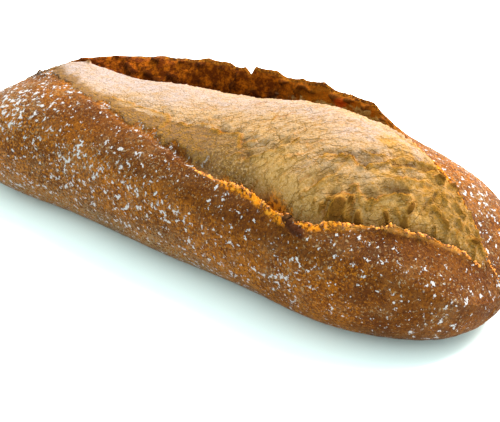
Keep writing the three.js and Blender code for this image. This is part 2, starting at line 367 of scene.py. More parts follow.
@dataclass(frozen=True)
class Score:
    """The score and what rose out of it.

    Attributes:
        start: where it begins along X.
        end: where it comes to its point.
        tip_fade: the length over which it fades out at both.
        narrowest: half its least width.
        near_lip: the near edge in plan, as (x, y).
        ear_rim: the rim of the ear in plan.
        closing: where along X it starts to close towards its point.
        ear_lift: the ear's rim above the plain loaf.
        ear_rise: between which x the ear rises.
        ear_fall: between which x it sinks again.
        far_lip_lift: the far lip's lift beyond the ear.
        ear_foot: how far the ear's foot lies inside its rim, with its swellings in foot_swells.
        ear_thickness: the crust's thickness at the ear's rim.
        crease_depth: depth of the crease at the ear's foot.
        crease_rise: between which x the crease deepens.
        crease_fall: between which x it gets shallow again.
        trough_depth: depth of the trough behind the near lip.
        trough_width: its distance from the lip.
        lip_opening: between which x the near lip comes away from the crumb.
        lip_lift: how far the lip stands up there, over lip_rise along X.
        lip_thickness: the crust's thickness at the lip.
        point_lift: how far the lip stands up by the score's start, at point_swell along X.
        plateau_lift: the crumb's lift where the score hardly opened, with plateau_swells.
        dome_swell: how far the dome rose where it burst open.
        dome_opening: between which x it burst open.
        dome_fall: where along X the dome starts to sink towards the point.
        crest_share: where the dome's crest lies between the two edges.
        rise: points of the near flank, as the share across and how high it is, flat and full.
        fall: points of the far flank, as the share across and the share down.
        ear_face: points of the ear's inner face, as the share across and the share up.
        outer_ear: where the ear's back meets the wall, as a share of the way down it.
        far_join: where the scored top ends on the far wall, likewise.
        notch_at: where along X the ear's rim has a notch.
        notch_reach: half the notch's width.
        notch_depth: its depth.
        rim_waves: what makes the ear's rim uneven.
        lip_waves: what makes the near lip uneven.
    """

    start: float = -122.0
    end: float = 147.0
    tip_fade: float = 8.0
    narrowest: float = 4.0
    near_lip: tuple[tuple[float, float], ...] = (
        (-122, 3),
        (-108, -7),
        (-80, -18),
        (-23, -33),
        (22, -42),
        (52, -43.5),
        (74, -49),
        (88, -47),
        (110, -36),
        (130, -20),
        (147, -3),
    )
    ear_rim: tuple[tuple[float, float], ...] = (
        (-122, 5),
        (-97, 20),
        (-60, 30),
        (0, 34.5),
        (50, 36),
        (88, 30),
        (121, 14),
        (147, -2),
    )
    closing: float = 122.0
    ear_lift: float = 12.0
    ear_rise: tuple[float, float] = (-112.0, 10.0)
    ear_fall: tuple[float, float] = (58.0, 97.0)
    far_lip_lift: float = 1.5
    ear_foot: float = 7.0
    foot_swells: tuple[Swell, ...] = (Swell(-60, 30, 11.0),)
    ear_thickness: float = 2.2
    crease_depth: float = 8.0
    crease_rise: tuple[float, float] = (-118.0, -40.0)
    crease_fall: tuple[float, float] = (55.0, 95.0)
    trough_depth: float = 6.0
    trough_width: float = 4.0
    lip_opening: tuple[float, float] = (22.0, 70.0)
    lip_lift: float = 1.5
    lip_rise: tuple[float, float] = (30.0, 60.0)
    lip_thickness: float = 1.6
    point_lift: float = 1.6
    point_swell: tuple[float, float] = (-112.0, 12.0)
    plateau_lift: float = 3.0
    plateau_swells: tuple[Swell, ...] = (Swell(-60, 27, -4.0),)
    dome_swell: float = 13.0
    dome_opening: tuple[float, float] = (-12.0, 74.0)
    dome_fall: float = 60.0
    crest_share: float = 0.6
    rise: tuple[tuple[float, float, float], ...] = (
        (0.10, 0.13, 0.42),
        (0.32, 0.38, 0.74),
        (0.64, 0.76, 0.94),
    )
    fall: tuple[tuple[float, float], ...] = ((0.45, 0.10), (0.78, 0.38))
    ear_face: tuple[tuple[float, float], ...] = ((0.37, 0.22), (0.66, 0.72))
    outer_ear: float = 0.30
    far_join: float = 0.62
    notch_at: float = -2.0
    notch_reach: float = 3.0
    notch_depth: float = 4.5
    rim_waves: tuple[Wave, ...] = (Wave(31, 0.7, 0.4), Wave(13.7, 0.5, 2.1))
    lip_waves: tuple[Wave, ...] = (Wave(23, 0.5, 1.3), Wave(10.9, 0.45, 4.2))

    def inside(self, x: Array) -> Array:
        """x held between the score's ends."""
        return np.clip(x, self.start, self.end)

    def weight(self, x: Array) -> Array:
        """1 along the score, fading to 0 at its two ends."""
        return ease(0, self.tip_fade, np.minimum(x - self.start, self.end - x))

    def band(self, loaf: PlainLoaf, x: Array) -> tuple[Array, Array]:
        """Finds the edges of the scored zone.

        Args:
            loaf: the plain loaf.
            x: place along the loaf.

        Returns:
            The y of the near edge and of the far one.
        """
        inside = self.inside(x)
        narrowing = loaf.fullness(x) / loaf.fullness(inside)
        near, far = line_through(self.near_lip)(inside), line_through(self.ear_rim)(inside)
        middle = (near + far) / 2 * narrowing
        half = np.maximum((far - near) / 2, self.narrowest) * narrowing
        return middle - half, middle + half

    def burst(self, x: Array) -> Burst:
        """Works out how far each feature stands above or below the plain loaf.

        Args:
            x: place along the loaf.

        Returns:
            The sizes there.
        """
        to_point = 1 - ease(self.closing, self.end, x)
        opened = ease(*self.dome_opening, x)
        shrink = 1 - np.clip((x - self.dome_fall) / (self.end - self.dome_fall), 0, 1) ** 2
        lip_open = ease(*self.lip_opening, x) * to_point
        notch = self.notch_depth * np.maximum(0, 1 - np.abs(x - self.notch_at) / self.notch_reach)
        ear = self.ear_lift * ease(*self.ear_rise, x) * (1 - ease(*self.ear_fall, x))
        ragged = Noise(11).layered(x / 5.0, 0.3, octaves=3, gain=0.6)
        rim = (waving(self.rim_waves, x) - notch + 0.5 * ragged) * (ear / self.ear_lift)
        lip_ragged = Noise(12).layered(x / 5.5, 0.7, octaves=3, gain=0.6)
        point = self.point_lift * bell(*self.point_swell, x)
        return Burst(
            ear=ear + rim + self.far_lip_lift * ease(-115, -100, x) * to_point,
            foot=self.ear_foot + swelling(self.foot_swells, x),
            crease=self.crease_depth
            * ease(*self.crease_rise, x)
            * (1 - 0.8 * ease(*self.crease_fall, x))
            * to_point,
            dome=self.plateau_lift * ease(self.start, -95, x) * to_point
            + swelling(self.plateau_swells, x)
            + self.dome_swell * opened * shrink**0.75,
            full=0.2 + 0.8 * ease(-50, 55, x),
            trough=self.trough_depth * lip_open,
            lip=point
            + self.lip_lift * ease(*self.lip_rise, x) * to_point
            + (waving(self.lip_waves, x) + 0.55 * lip_ragged) * lip_open,
            lip_edge=0.6 * ease(15, 50, x) * to_point,
        )

    def points(self, loaf: PlainLoaf, x: Array) -> list[tuple[Array, Array]]:
        """Finds the control points of the scored top.

        Args:
            loaf: the plain loaf.
            x: place along the loaf.

        Returns:
            The points from the near lip to the far wall, as (y, z).
        """
        inside, weight = self.inside(x), self.weight(x)
        near, far = self.band(loaf, x)
        size = self.burst(inside)
        thin = np.minimum(1, (far - near) / 40)
        lip_z = loaf.point(x, loaf.angle_at(x, near))[1]
        rim_z = loaf.point(x, loaf.angle_at(x, far))[1]
        trough = (near + self.trough_width * thin, lip_z - size.trough)
        crease = (far - size.foot * thin, rim_z - size.crease)
        crest = (near + self.crest_share * (far - near), loaf.crown_at(x) + size.dome)
        rim = rim_z + size.ear
        far_angle = loaf.angle_at(x, far)
        back_angle = far_angle + (np.pi / 2 - far_angle) * self.outer_ear
        join_angle = far_angle + (np.pi / 2 - far_angle) * self.far_join
        back = loaf.point(x, back_angle)
        half_edge = self.ear_thickness / 2 * thin
        torn = [
            (near, lip_z + size.lip),
            (near + self.lip_thickness * thin, lip_z + size.lip - size.lip_edge),
            trough,
            *(
                (
                    trough[0] + (crest[0] - trough[0]) * across,
                    trough[1] + (crest[1] - trough[1]) * (flat + (full - flat) * size.full),
                )
                for across, flat, full in self.rise
            ),
            crest,
            *(
                (crest[0] + (crease[0] - crest[0]) * s, crest[1] + (crease[1] - crest[1]) * down)
                for s, down in self.fall
            ),
            crease,
            *(
                (crease[0] + (far - crease[0]) * s, crease[1] + (rim - crease[1]) * up)
                for s, up in self.ear_face
            ),
            (far - half_edge, rim),
            (far + half_edge, rim - 0.4 * thin),
            (back[0] - 0.1 * size.ear, back[1] + 0.4 * size.ear),
            loaf.point(x, join_angle),
        ]
        last = len(torn) - 1
        ends = {last - 1: back_angle, last: join_angle}
        made = []
        for i, (y, z) in enumerate(torn):
            across = np.clip((y - near) / (far - near), i / 100, 1)
            angle = ends.get(i, loaf.angle_at(x, near + (far - near) * across))
            y0, z0 = loaf.point(x, angle)
            made.append((y0 + (y - y0) * weight, z0 + (z - z0) * weight))
        return made

    def join_angle(self, loaf: PlainLoaf, x: Array) -> Array:
        """The angle of the plain section where the scored top meets the far wall."""
        far_angle = loaf.angle_at(x, self.band(loaf, x)[1])
        return far_angle + (np.pi / 2 - far_angle) * self.far_join


# ---------------------------------------------------------------------------------------------
# The skin: a grid round and along the loaf
# ---------------------------------------------------------------------------------------------


class Zone(Enum):
    """Parts of the scored top, by the control points between which they lie."""

    DOME = (2, 9)
    EAR = (9, 11.8)


@dataclass
class Skin:
    """The skin's grid, one row for each station along X and one column round the section.

    Attributes:
        x: place along the loaf.
        y: place across it.
        z: height.
        station: place in the section: below 0 on the near wall, the number of the control
            point along the score, and 15 and more on the far wall.
        kept: marks painted on the skin, each a grid of its own.
    """

    x: Array
    y: Array
    z: Array
    station: Array
    kept: dict[str, Array]

    def normals(self) -> tuple[Array, Array, Array]:
        """Finds which way the skin faces.

        Returns:
            The x, y and z of its outward unit normals.
        """
        place = np.stack([self.x, self.y, self.z], -1)
        along = np.gradient(place, axis=0)
        around = np.roll(place, -1, 1) - np.roll(place, 1, 1)
        normal = np.cross(around, along)
        normal /= np.linalg.norm(normal, axis=-1, keepdims=True) + 1e-12
        return normal[..., 0], normal[..., 1], normal[..., 2]

    def push(self, out: Array) -> None:
        """Moves the skin outwards, and keeps the base flat.

        Args:
            out: how far each point moves.
        """
        nx, ny, nz = self.normals()
        flat = self.z <= 1e-6
        out = np.where(flat, 0, out)
        self.x = self.x + nx * out
        self.y = self.y + ny * out
        self.z = np.maximum(self.z + nz * out, 0)

    def zone(self, zone: Zone, fade: float) -> Array:
        """Tells what lies in a zone of the scored top.

        Args:
            zone: the zone.
            fade: half the width over which it eases out at its edges.

        Returns:
            1 within the zone, 0 outside it.
        """
        low, high = zone.value
        after = ease(low - fade, low + fade, self.station)
        return after * (1 - ease(high - fade, high + fade, self.station))


@dataclass(frozen=True)
class SkinCutter:
    """How finely the skin is cut, and how it is laid over the loaf's form.

    Attributes:
        stations: sections along X.
        wild: where the score turns wild along X, and sections stand closer from there on.
        wild_share: how much closer.
        tip_share: how strongly they crowd together at the tips.
        base_columns: columns on each side of the middle of the base.
        near_columns: columns on the near wall.
        far_columns: columns on the far wall.
        score_columns: columns between the control points of the scored top.
        wall_lead: the turn from the scored top's edges to the points that guide its slope there.
    """

    stations: int = 440
    wild: tuple[float, float] = (-30.0, 25.0)
    wild_share: float = 0.8
    tip_share: float = 30.0
    base_columns: int = 4
    near_columns: int = 44
    far_columns: int = 24
    score_columns: tuple[int, ...] = (5, 7, 10, 16, 18, 18, 14, 12, 9, 8, 9, 8, 3, 6, 5)
    wall_lead: float = 0.12

    def positions(self, half_length: float) -> Array:
        """Spaces the sections out.

        Args:
            half_length: half the loaf's length.

        Returns:
            Where each section stands along X.
        """
        x = np.linspace(-half_length, half_length, 4001)
        closeness = 1 + self.wild_share * ease(*self.wild, x)
        closeness *= np.sqrt(1 + self.tip_share / (half_length - np.abs(x) + 0.5))
        counted = np.cumsum(closeness)
        share = np.arange(1, self.stations) / self.stations
        return np.interp(share, counted / counted[-1], x)

    def cut(self, loaf: PlainLoaf, score: Score) -> Skin:
        """Lays the grid over the loaf.

        Args:
            loaf: the plain loaf.
            score: its score.

        Returns:
            The skin, smooth as yet.
        """
        x = self.positions(loaf.length / 2)
        points = score.points(loaf, x)
        near_angle = loaf.angle_at(x, score.band(loaf, x)[0])
        far_angle = score.join_angle(loaf, x)
        foot = loaf.foot_angle(x)
        ys: list[Array] = []
        zs: list[Array] = []
        station: list[float] = []

        def wall(start: Array, end: Array, steps: int, first: float, last: float) -> None:
            """Adds columns of the plain loaf between two angles.

            Args:
                start: the angle at which they start.
                end: the angle before which they end.
                steps: how many there are.
                first: the first one's place in the section.
                last: the place before which they end.
            """
            for k in range(steps):
                t = k / steps
                y, z = loaf.point(x, start + (end - start) * t)
                ys.append(y)
                zs.append(z)
                station.append(first + (last - first) * t)

        half_turn = np.full_like(x, np.pi)
        wall(-half_turn, -foot, self.base_columns, -2.0, -1.0)
        wall(-foot, near_angle, self.near_columns, -1.0, 0.0)
        guides = [
            loaf.point(x, near_angle - self.wall_lead),
            *points,
            loaf.point(x, far_angle + self.wall_lead),
        ]
        for i, steps in enumerate(self.score_columns):
            before, start, end, after = guides[i : i + 4]
            for k in range(steps):
                t = k / steps
                y, z = (
                    b + 0.5 * t * (c - a + t * (2 * a - 5 * b + 4 * c - d + t * (3 * (b - c) + d - a)))
                    for a, b, c, d in zip(before, start, end, after)
                )
                ys.append(y)
                zs.append(z)
                station.append(i + t)
        wall(far_angle, foot, self.far_columns, 15.0, 16.0)
        wall(foot, half_turn, self.base_columns, 16.0, 17.0)
        columns = len(ys)
        return Skin(
            x=np.repeat(x[:, None], columns, 1),
            y=np.stack(ys, 1),
            z=np.maximum(np.stack(zs, 1), 0),
            station=np.repeat(np.array(station)[None, :], len(x), 0),
            kept={},
        )


# ---------------------------------------------------------------------------------------------
# What baking did to the skin
# ---------------------------------------------------------------------------------------------


@dataclass(frozen=True)
class Profile:
    """How a kind of tear rises, browns at its edge and carries painted shade at its foot, in shares of its
    size and in millimetres.

    Attributes:
        step: a free edge, high on the left of the line and sinking back over the tear's reach.
        ridge: a bell over the line; below 0 it is a groove.
        hollow: the hollow under a free edge.
        brow: how toasted its edge is.
        shade: how dark the painted shade at its foot is, and how far to the left that lies.
        wander: how far it strays from its line.
    """

    step: float = 0.0
    ridge: float = 0.0
    hollow: float = 0.0
    brow: float = 0.0
    shade: tuple[float, float] = (0.0, 0.0)
    wander: float = 1.0


class Kind(Enum):
    """Kinds of line that cross the burst."""

    LEDGE = Profile(step=1.35, hollow=0.8, brow=1.0, shade=(1.0, -0.8), wander=1.1)
    RIB = Profile(ridge=1.3, brow=0.35, shade=(0.7, -1.3), wander=0.5)
    FOLD = Profile(ridge=-0.35, shade=(0.3, 0.0), wander=1.4)
    CRACK = Profile(ridge=-1.0, brow=0.6, shade=(1.0, 0.0), wander=0.6)


@dataclass(frozen=True)
class Tear:
    """A line across the burst, through points in plan; a ledge is high on the left of its run.

    Attributes:
        kind: what kind of line it is.
        size: its height or depth.
        reach: how far its sheet carries back, or the half width of its ridge or groove.
        through: the points, as (x, y).
    """

    kind: Kind
    size: float
    reach: float
    through: tuple[tuple[float, float], ...]

    def off(self, x: Array, y: Array) -> tuple[Array, Array]:
        """Measures from the line to each point.

        Args:
            x: the points' place along the loaf.
            y: their place across it.

        Returns:
            How far each is to the left of the line, and 1 beside it, fading past its ends.
        """
        nearest = np.full(x.shape, np.inf)
        left, travelled, before = np.zeros(x.shape), np.zeros(x.shape), 0.0
        for start, end in zip(self.through, self.through[1:]):
            run = np.subtract(end, start)
            length = float(np.hypot(*run))
            along = ((x - start[0]) * run[0] + (y - start[1]) * run[1]) / length
            side = ((y - start[1]) * run[0] - (x - start[0]) * run[1]) / length
            away = np.hypot(side, np.maximum(np.maximum(-along, along - length), 0))
            closer = away < nearest
            nearest = np.where(closer, away, nearest)
            left = np.where(closer, np.copysign(away, side), left)
            travelled = np.where(closer, before + along, travelled)
            before += length
        return left, ease(-1.0, 2.0, np.minimum(travelled, before - travelled))


@dataclass(frozen=True)
class Pit:
    """A burst bubble in plan: its middle, half length, half width, turn and depth."""

    x: float
    y: float
    long: float
    wide: float
    turn: float
    depth: float


@dataclass(frozen=True)
class Tears:
    """What the burst did to the crumb: torn sheets, strands, pits and the crevice by the far lip.

    Attributes:
        lines: the ledges, ribs, folds and cracks that stand out most.
        pits: the bubbles that opened widest.
        flow: the way the crumb was drawn, as the turn from +X in degrees at some x.
        fan_turn: the same for the strands that fan out near the point.
        sheet: width of one overlapping sheet, across the flow.
        sheet_height: how far its free edge stands out.
        small_sheet: width of the smaller sheets between them.
        small_height: how far their edges stand out.
        crinkle: width of one crease within a sheet.
        crinkle_height: how far a crease stands out.
        rib: width of one strand of the fan.
        rib_height: how far it stands out.
        fan_from: between which x the strands fan out.
        grain: size of the crumb's own grain.
        brink_height: how ragged the far brink of the dome is.
        bubble: length and width of the small bubbles in broken crumb.
        bubble_depth: how deep they are.
        gap: the crevice by the far lip, as its place in the section and half its width there.
        gap_depth: how deep it is.
    """

    lines: tuple[Tear, ...] = (
        Tear(Kind.LEDGE, 0.5, 5, ((-52, -13), (-36, -14.5), (-20, -16.5), (-8, -17))),
        Tear(Kind.LEDGE, 0.9, 5, ((-4, -19.5), (3, -20), (8, -17.5), (14, -17.5), (19, -20.5))),
        Tear(Kind.LEDGE, 0.8, 4, ((19, -20.5), (27, -22), (33, -21.5))),
        Tear(Kind.LEDGE, 0.7, 3, ((8, -13), (14, -14))),
        Tear(Kind.LEDGE, 0.9, 6, ((16, -20), (23, -23), (33, -22))),
        Tear(Kind.LEDGE, 0.7, 4, ((33, -22), (39, -30))),
        Tear(Kind.LEDGE, 1.3, 4, ((38, -29), (38, -26), (43, -24))),
        Tear(Kind.LEDGE, 1.9, 8, ((43, -33), (48, -30), (50, -29), (54, -27), (59, -23))),
        Tear(Kind.LEDGE, 1.1, 5, ((75, -30), (76, -26), (80, -22), (84, -20))),
        Tear(Kind.LEDGE, 1.6, 6, ((81, -25), (83, -22), (88, -19), (91, -20), (96, -22))),
        Tear(Kind.LEDGE, 1.6, 6, ((78, -39), (81, -35), (83, -32), (86, -29))),
        Tear(
            Kind.LEDGE,
            2.2,
            8,
            ((92, -23), (96, -19), (100, -15), (101, -12), (102, -7), (106, -6), (111, -2), (116, 6)),
        ),
        Tear(Kind.LEDGE, 1.0, 3, ((89, -14), (94, -13), (99, -9))),
        Tear(Kind.LEDGE, 1.3, 4, ((103, -14), (108, -10), (114, -5), (117, 1), (119, 7))),
        Tear(Kind.LEDGE, 0.9, 3, ((106, -18), (111, -14), (116, -9))),
        Tear(Kind.LEDGE, 2.4, 5, ((101, -31), (105, -28), (106, -26), (108, -24), (110, -22), (115, -18))),
        Tear(Kind.LEDGE, 1.0, 4, ((93, -31), (96, -29), (101, -30))),
        Tear(Kind.LEDGE, 1.6, 4, ((87, -36), (90, -35), (93, -33), (97, -32))),
        Tear(Kind.LEDGE, 1.3, 3, ((88, -41), (89, -39), (91, -35))),
        Tear(Kind.LEDGE, 0.4, 2, ((-21, -18), (-14, -15), (-9, -20), (-9, -27))),
        Tear(Kind.RIB, 0.9, 1.2, ((79, -38), (76, -42))),
        Tear(Kind.RIB, 0.7, 0.9, ((85, -30), (86, -24), (86, -20))),
        Tear(Kind.RIB, 0.9, 0.9, ((88, -37), (89, -35), (89, -33), (88, -29))),
        Tear(Kind.RIB, 0.6, 0.8, ((86, -38), (87, -34), (86, -31))),
        Tear(Kind.RIB, 1.0, 0.9, ((97, -33), (98, -35), (99, -38))),
        Tear(Kind.RIB, 1.1, 0.9, ((116, -19), (116, -16), (117, -12), (118, -10), (121, -8))),
        Tear(Kind.RIB, 1.1, 0.8, ((120, -21), (121, -17), (122, -12), (122, -7))),
        Tear(Kind.RIB, 0.7, 0.7, ((124, -18), (125, -13), (126, -9))),
        Tear(Kind.FOLD, 0.9, 2.2, ((56, -12), (66, -9), (75, -5))),
        Tear(Kind.FOLD, 0.7, 1.6, ((63, -17), (70, -12))),
        Tear(Kind.FOLD, 1.1, 2.0, ((67, -19), (74, -17), (80, -15))),
        Tear(Kind.FOLD, 0.7, 1.5, ((68, -22), (74, -19))),
        Tear(Kind.FOLD, 0.9, 1.5, ((79, -20), (84, -18))),
        Tear(Kind.FOLD, 0.7, 2.0, ((26, -5), (28, -1), (27, 7))),
        Tear(Kind.CRACK, 0.5, 0.6, ((41, -3), (42, -12))),
        Tear(Kind.CRACK, 0.6, 0.6, ((36, -33), (41, -31))),
        Tear(Kind.CRACK, 1.1, 0.7, ((61, -25), (62, -19))),
        Tear(Kind.CRACK, 0.5, 0.6, ((-6, -26), (-1, -28))),
        Tear(Kind.CRACK, 1.8, 0.9, ((133, -13), (134, -9), (134, -5))),
    )
    pits: tuple[Pit, ...] = (
        Pit(92.5, -37.0, 4.6, 2.4, 35, 3.4),
        Pit(96.5, -33.5, 2.0, 1.0, 75, 3.0),
        Pit(116.5, -21.5, 2.6, 1.3, 70, 4.2),
        Pit(119.5, -2.5, 2.2, 1.1, 20, 3.4),
        Pit(123.5, 3.0, 4.0, 1.0, 70, 2.4),
        Pit(128.5, 7.5, 1.8, 1.2, 100, 3.2),
        Pit(131.5, 7.0, 1.8, 1.2, 110, 3.6),
        Pit(135.5, 5.5, 2.2, 0.9, 110, 3.0),
        Pit(140.5, 2.0, 2.2, 0.8, 120, 2.8),
        Pit(138.5, -5.0, 2.6, 1.2, 60, 3.0),
        Pit(110.0, -29.0, 1.8, 1.1, 0, 1.6),
        Pit(101.0, -35.0, 2.0, 1.2, 20, 1.8),
        Pit(-89.3, 9.5, 1.8, 0.9, 0, 1.8),
    )
    flow: tuple[tuple[float, float], ...] = ((-122, 9), (-40, 13), (20, 24), (60, 36), (147, 40))
    fan_turn: float = 78.0
    sheet: float = 10.0
    sheet_height: float = 0.8
    small_sheet: float = 4.2
    small_height: float = 0.45
    crinkle: float = 3.4
    crinkle_height: float = 0.25
    rib: float = 3.3
    rib_height: float = 0.5
    fan_from: tuple[float, float] = (70.0, 98.0)
    grain: float = 2.6
    brink_height: float = 1.0
    bubble: tuple[float, float] = (3.4, 3.0)
    bubble_depth: float = 1.3
    gap: tuple[float, float] = (9.0, 0.55)
    gap_depth: float = 3.0

    def across_flow(self, x: Array, y: Array) -> Array:
        """Tells which strand of the drawn crumb a point lies on.

        Args:
            x: place along the loaf.
            y: place across it.

        Returns:
            Millimetres across the flow, the same number all along a strand.
        """
        reach = np.linspace(-160, 160, 641)
        turn = np.radians(line_through(self.flow)(reach))
        drift = np.concatenate([[0], np.cumsum(np.tan(turn)[:-1] * np.diff(reach))])
        drift -= np.interp(0, reach, drift)
        return y - np.interp(x, reach, drift)

    def sheets(self, x: Array, v: Array, width: float, seed: int) -> tuple[Array, Array, Array]:
        """Sheets that overlap like shingles, their free edges towards the near side.

        Args:
            x: place along the loaf.
            v: place across the flow.
            width: width of a sheet.
            seed: which noise bends and breaks them.

        Returns:
            How far each point stands out, how far it is past the nearest free edge in millimetres,
            and how clear that edge is.
        """
        bend = 0.9 * Noise(seed).at(x / (3.0 * width), v / (1.8 * width))
        bend += 0.4 * Noise(seed + 1).layered(x / (0.9 * width), v / (0.7 * width), octaves=2)
        phase = v / width + bend
        saw = phase - np.floor(phase)
        strong = ease(-0.1, 0.5, Noise(seed + 2).layered(x / (2.6 * width), v / width, octaves=2))
        out = ease(0, 0.08, saw) * (1 - saw) ** 1.4 * strong
        past = saw - (saw > 0.5)
        return out, past * width, strong * (1 - ease(0.3, 0.45, np.abs(past)))

    def tear(self, skin: Skin, weight: Array) -> None:
        """Roughens the dome and marks what shows on it.

        Args:
            skin: the skin, which is changed.
            weight: 1 on the opened score, 0 on plain crust.
        """
        x, y, station = skin.x.copy(), skin.y.copy(), skin.station
        v = self.across_flow(x, y)
        dome = skin.zone(Zone.DOME, 0.35) * weight
        wild = (0.25 + 0.75 * ease(-20, 60, x)) * (1 - 0.4 * ease(8, 24, y))
        fan = ease(*self.fan_from, x)
        calm = wild * (1 - 0.7 * fan)

        out, beside, strong = self.sheets(x, v, self.sheet, 20)
        out, crossed = self.sheet_height * out * calm, 0.5 * strong * calm
        small, small_beside, small_strong = self.sheets(x, v, self.small_sheet, 30)
        out += self.small_height * small * calm
        closer = (np.abs(small_beside) < np.abs(beside)) & (small_strong * calm > 0.1)
        beside = np.where(closer, small_beside, beside)
        crossed = np.where(closer, 0.4 * small_strong * calm, crossed)
        edge, under = np.zeros_like(x), np.zeros_like(x)
        creases = Noise(36).ridged(x / (2.6 * self.crinkle), v / self.crinkle, octaves=2)
        out += self.crinkle_height * creases * (0.25 + 0.75 * wild) * (1 - fan)
        turn = math.radians(self.fan_turn)
        up = x * math.cos(turn) + y * math.sin(turn)
        over = x * math.sin(turn) - y * math.cos(turn)
        bend = 0.5 * Noise(34).at(up / 9, over / 9)
        out += self.rib_height * Noise(35).ridged(up / 13, over / self.rib + bend, octaves=2) * fan
        grain = Noise(37).layered(x / self.grain, y / self.grain, octaves=3, gain=0.65)
        out += grain * (0.14 + 0.14 * wild + 0.26 * ease(104, 128, x))
        out += 0.25 * Noise(38).layered(x / 22, v / 10, octaves=2) * wild
        brink = ease(6.2, 7.8, station)
        out += self.brink_height * Noise(48).layered(x / 9, y / 4, octaves=5, gain=0.7) * brink

        stray = [Noise(41 + k).layered(x / 4.5, y / 4.5, octaves=3, gain=0.6) for k in (0, 1)]
        uneven = 0.8 + 0.5 * Noise(43).at(x / 6, y / 6)
        for tear in self.lines:
            kind = tear.kind.value
            left, within = tear.off(x + kind.wander * stray[0], y + kind.wander * stray[1])
            within = within * uneven
            sheet = ease(-0.25, 0.4, left) * (1 - ease(0.4, max(tear.reach, 1.0), left))
            form = kind.step * sheet + kind.ridge * bell(0.0, tear.reach, left)
            out += tear.size * within * (form - kind.hollow * bell(-0.9, 0.8, left))
            # Painted shade at each tear's foot: under a free edge, beside a rib, and along folds and
            # cracks.
            soft = 0.8 if kind.step else 0.8 * tear.reach
            shade = kind.shade[0] * bell(kind.shade[1], soft, left)
            under = np.maximum(under, 0.8 * within * shade)
            closer = (np.abs(left) < np.maximum(np.abs(beside), 1.2)) & (within * kind.brow > 0.2)
            beside = np.where(closer, left, beside)
            crossed = np.where(closer, within * kind.brow * min(1.0, 0.3 + 0.5 * tear.size), crossed)

        # deep marks painted shade in the pits, in the small bubbles of broken crumb and in the crevice by
        # the far lip.
        deep = np.zeros_like(x)
        for pit in self.pits:
            turn = math.radians(pit.turn)
            a = (x - pit.x) * math.cos(turn) + (y - pit.y) * math.sin(turn) + 0.7 * stray[0]
            b = (y - pit.y) * math.cos(turn) - (x - pit.x) * math.sin(turn) + 0.5 * stray[1]
            away = np.hypot(a / pit.long, b / pit.wide)
            hole = 1 - ease(0.45, 1.15, away)
            out -= pit.depth * hole
            deep = np.maximum(deep, hole)
            edge = np.maximum(edge, 0.7 * bell(1.3, 0.2, away))

        low = ease(4.4, 2.8, station) * ease(62, 84, x)
        broken = np.clip(ease(112, 128, x) * 0.9 + low, 0, 1)
        froth = Noise(39).layered(x / self.bubble[0], y / self.bubble[1], octaves=3)
        bubble = ease(0.30, 0.50, froth) * broken
        out -= self.bubble_depth * bubble
        deep = np.maximum(deep, 0.7 * bubble)

        gap = bell(*self.gap, station) * ease(84, 104, x)
        gap = gap * ease(-0.5, 0.25, Noise(47).layered(x / 8, 0.4, octaves=2))
        out -= self.gap_depth * gap
        deep = np.maximum(deep, 0.9 * gap)

        skin.push(out * dome)
        skin.kept["edge"] = np.clip(edge, 0, 1) * dome
        skin.kept["under"] = np.clip(under, 0, 1) * dome
        skin.kept["deep"] = deep * dome
        skin.kept["strand"] = v
        skin.kept["beside"] = np.clip(beside, -4, 4)
        skin.kept["crossed"] = np.clip(crossed, 0, 1) * dome


@dataclass(frozen=True)
class CrispRims:
    """The ragged rims that the burst left: crumbs on the near lip, a thin dry line on the far one.

    Attributes:
        crumb: size of the crumbs on the near lip.
        height: how far they stand up.
        flake: size of the flakes among them.
        far_height: how far the crumbs on the ear's rim stand up.
        heap: where along X crumbs heap up behind the near lip, and how far to either side.
        heap_place: the heap's place in the section, and how far to either side.
        heap_height: how high they heap.
        pocket: the middle, in X and Z, of a pocket where the lip lifted off the crust below.
        pocket_reach: half its length and half its height.
        pocket_slope: how it drops along X.
        pocket_depth: how deep it is.
    """

    crumb: float = 2.4
    height: float = 1.0
    flake: float = 5.5
    far_height: float = 0.35
    heap: tuple[float, float] = (65.0, 11.0)
    heap_place: tuple[float, float] = (1.7, 1.25)
    heap_height: float = 1.5
    pocket: tuple[float, float] = (80.0, 50.9)
    pocket_reach: tuple[float, float] = (8.5, 2.0)
    pocket_slope: float = -0.27
    pocket_depth: float = 2.4

    def crumble(self, skin: Skin, weight: Array) -> None:
        """Roughens the rims and marks them.

        Args:
            skin: the skin, which is changed.
            weight: 1 on the opened score, 0 on plain crust.
        """
        x, y, z, station = skin.x, skin.y, skin.z, skin.station
        wander = Noise(91).layered(x / 7, 0.5, octaves=3, gain=0.6)
        slimmer = 1.0 + 1.3 * ease(72, 88, x) + 2.4 * ease(98, 122, x)
        inward = station * slimmer + 0.7 * wander
        near = ease(-0.12, 0.05, station) * (1 - ease(1.5, 2.5, inward))
        near = near * ease(22, 46, x) * weight
        thin = ease(84, 112, x)
        skin.kept["edge"] = np.maximum(skin.kept["edge"], 0.9 * near * thin)
        near = near * (1 - 0.5 * thin)
        heap = bell(*self.heap, x) * bell(*self.heap_place, station)
        near = np.maximum(near, 0.98 * heap * weight)
        far = ease(10.9, 11.6, station) * (1 - ease(12.4, 12.7, station)) * ease(78, 100, x) * weight
        size = self.crumb
        crumbs = Noise(92).layered(x / size, y / size, z / size, octaves=3, gain=0.65)
        size = self.flake
        flakes = Noise(93).ridged(x / size, y / size, z / size, octaves=2)
        out = self.height * (0.7 * crumbs + 0.5 * flakes) * near + self.far_height * crumbs * far
        skin.push(out + self.heap_height * heap * weight)
        along = x - self.pocket[0]
        above = z - self.pocket[1] - self.pocket_slope * along + 0.5 * crumbs
        away = np.hypot(along / self.pocket_reach[0], above / self.pocket_reach[1])
        pocket = (1 - ease(0.5, 1.1, away)) * (station < 1) * (station > -0.5)
        skin.push(-self.pocket_depth * pocket)
        # The pocket mark paints shade inside the pocket.
        skin.kept["pocket"] = pocket
        skin.kept["crisp"] = np.clip(near * (1 - pocket) + far, 0, 1)


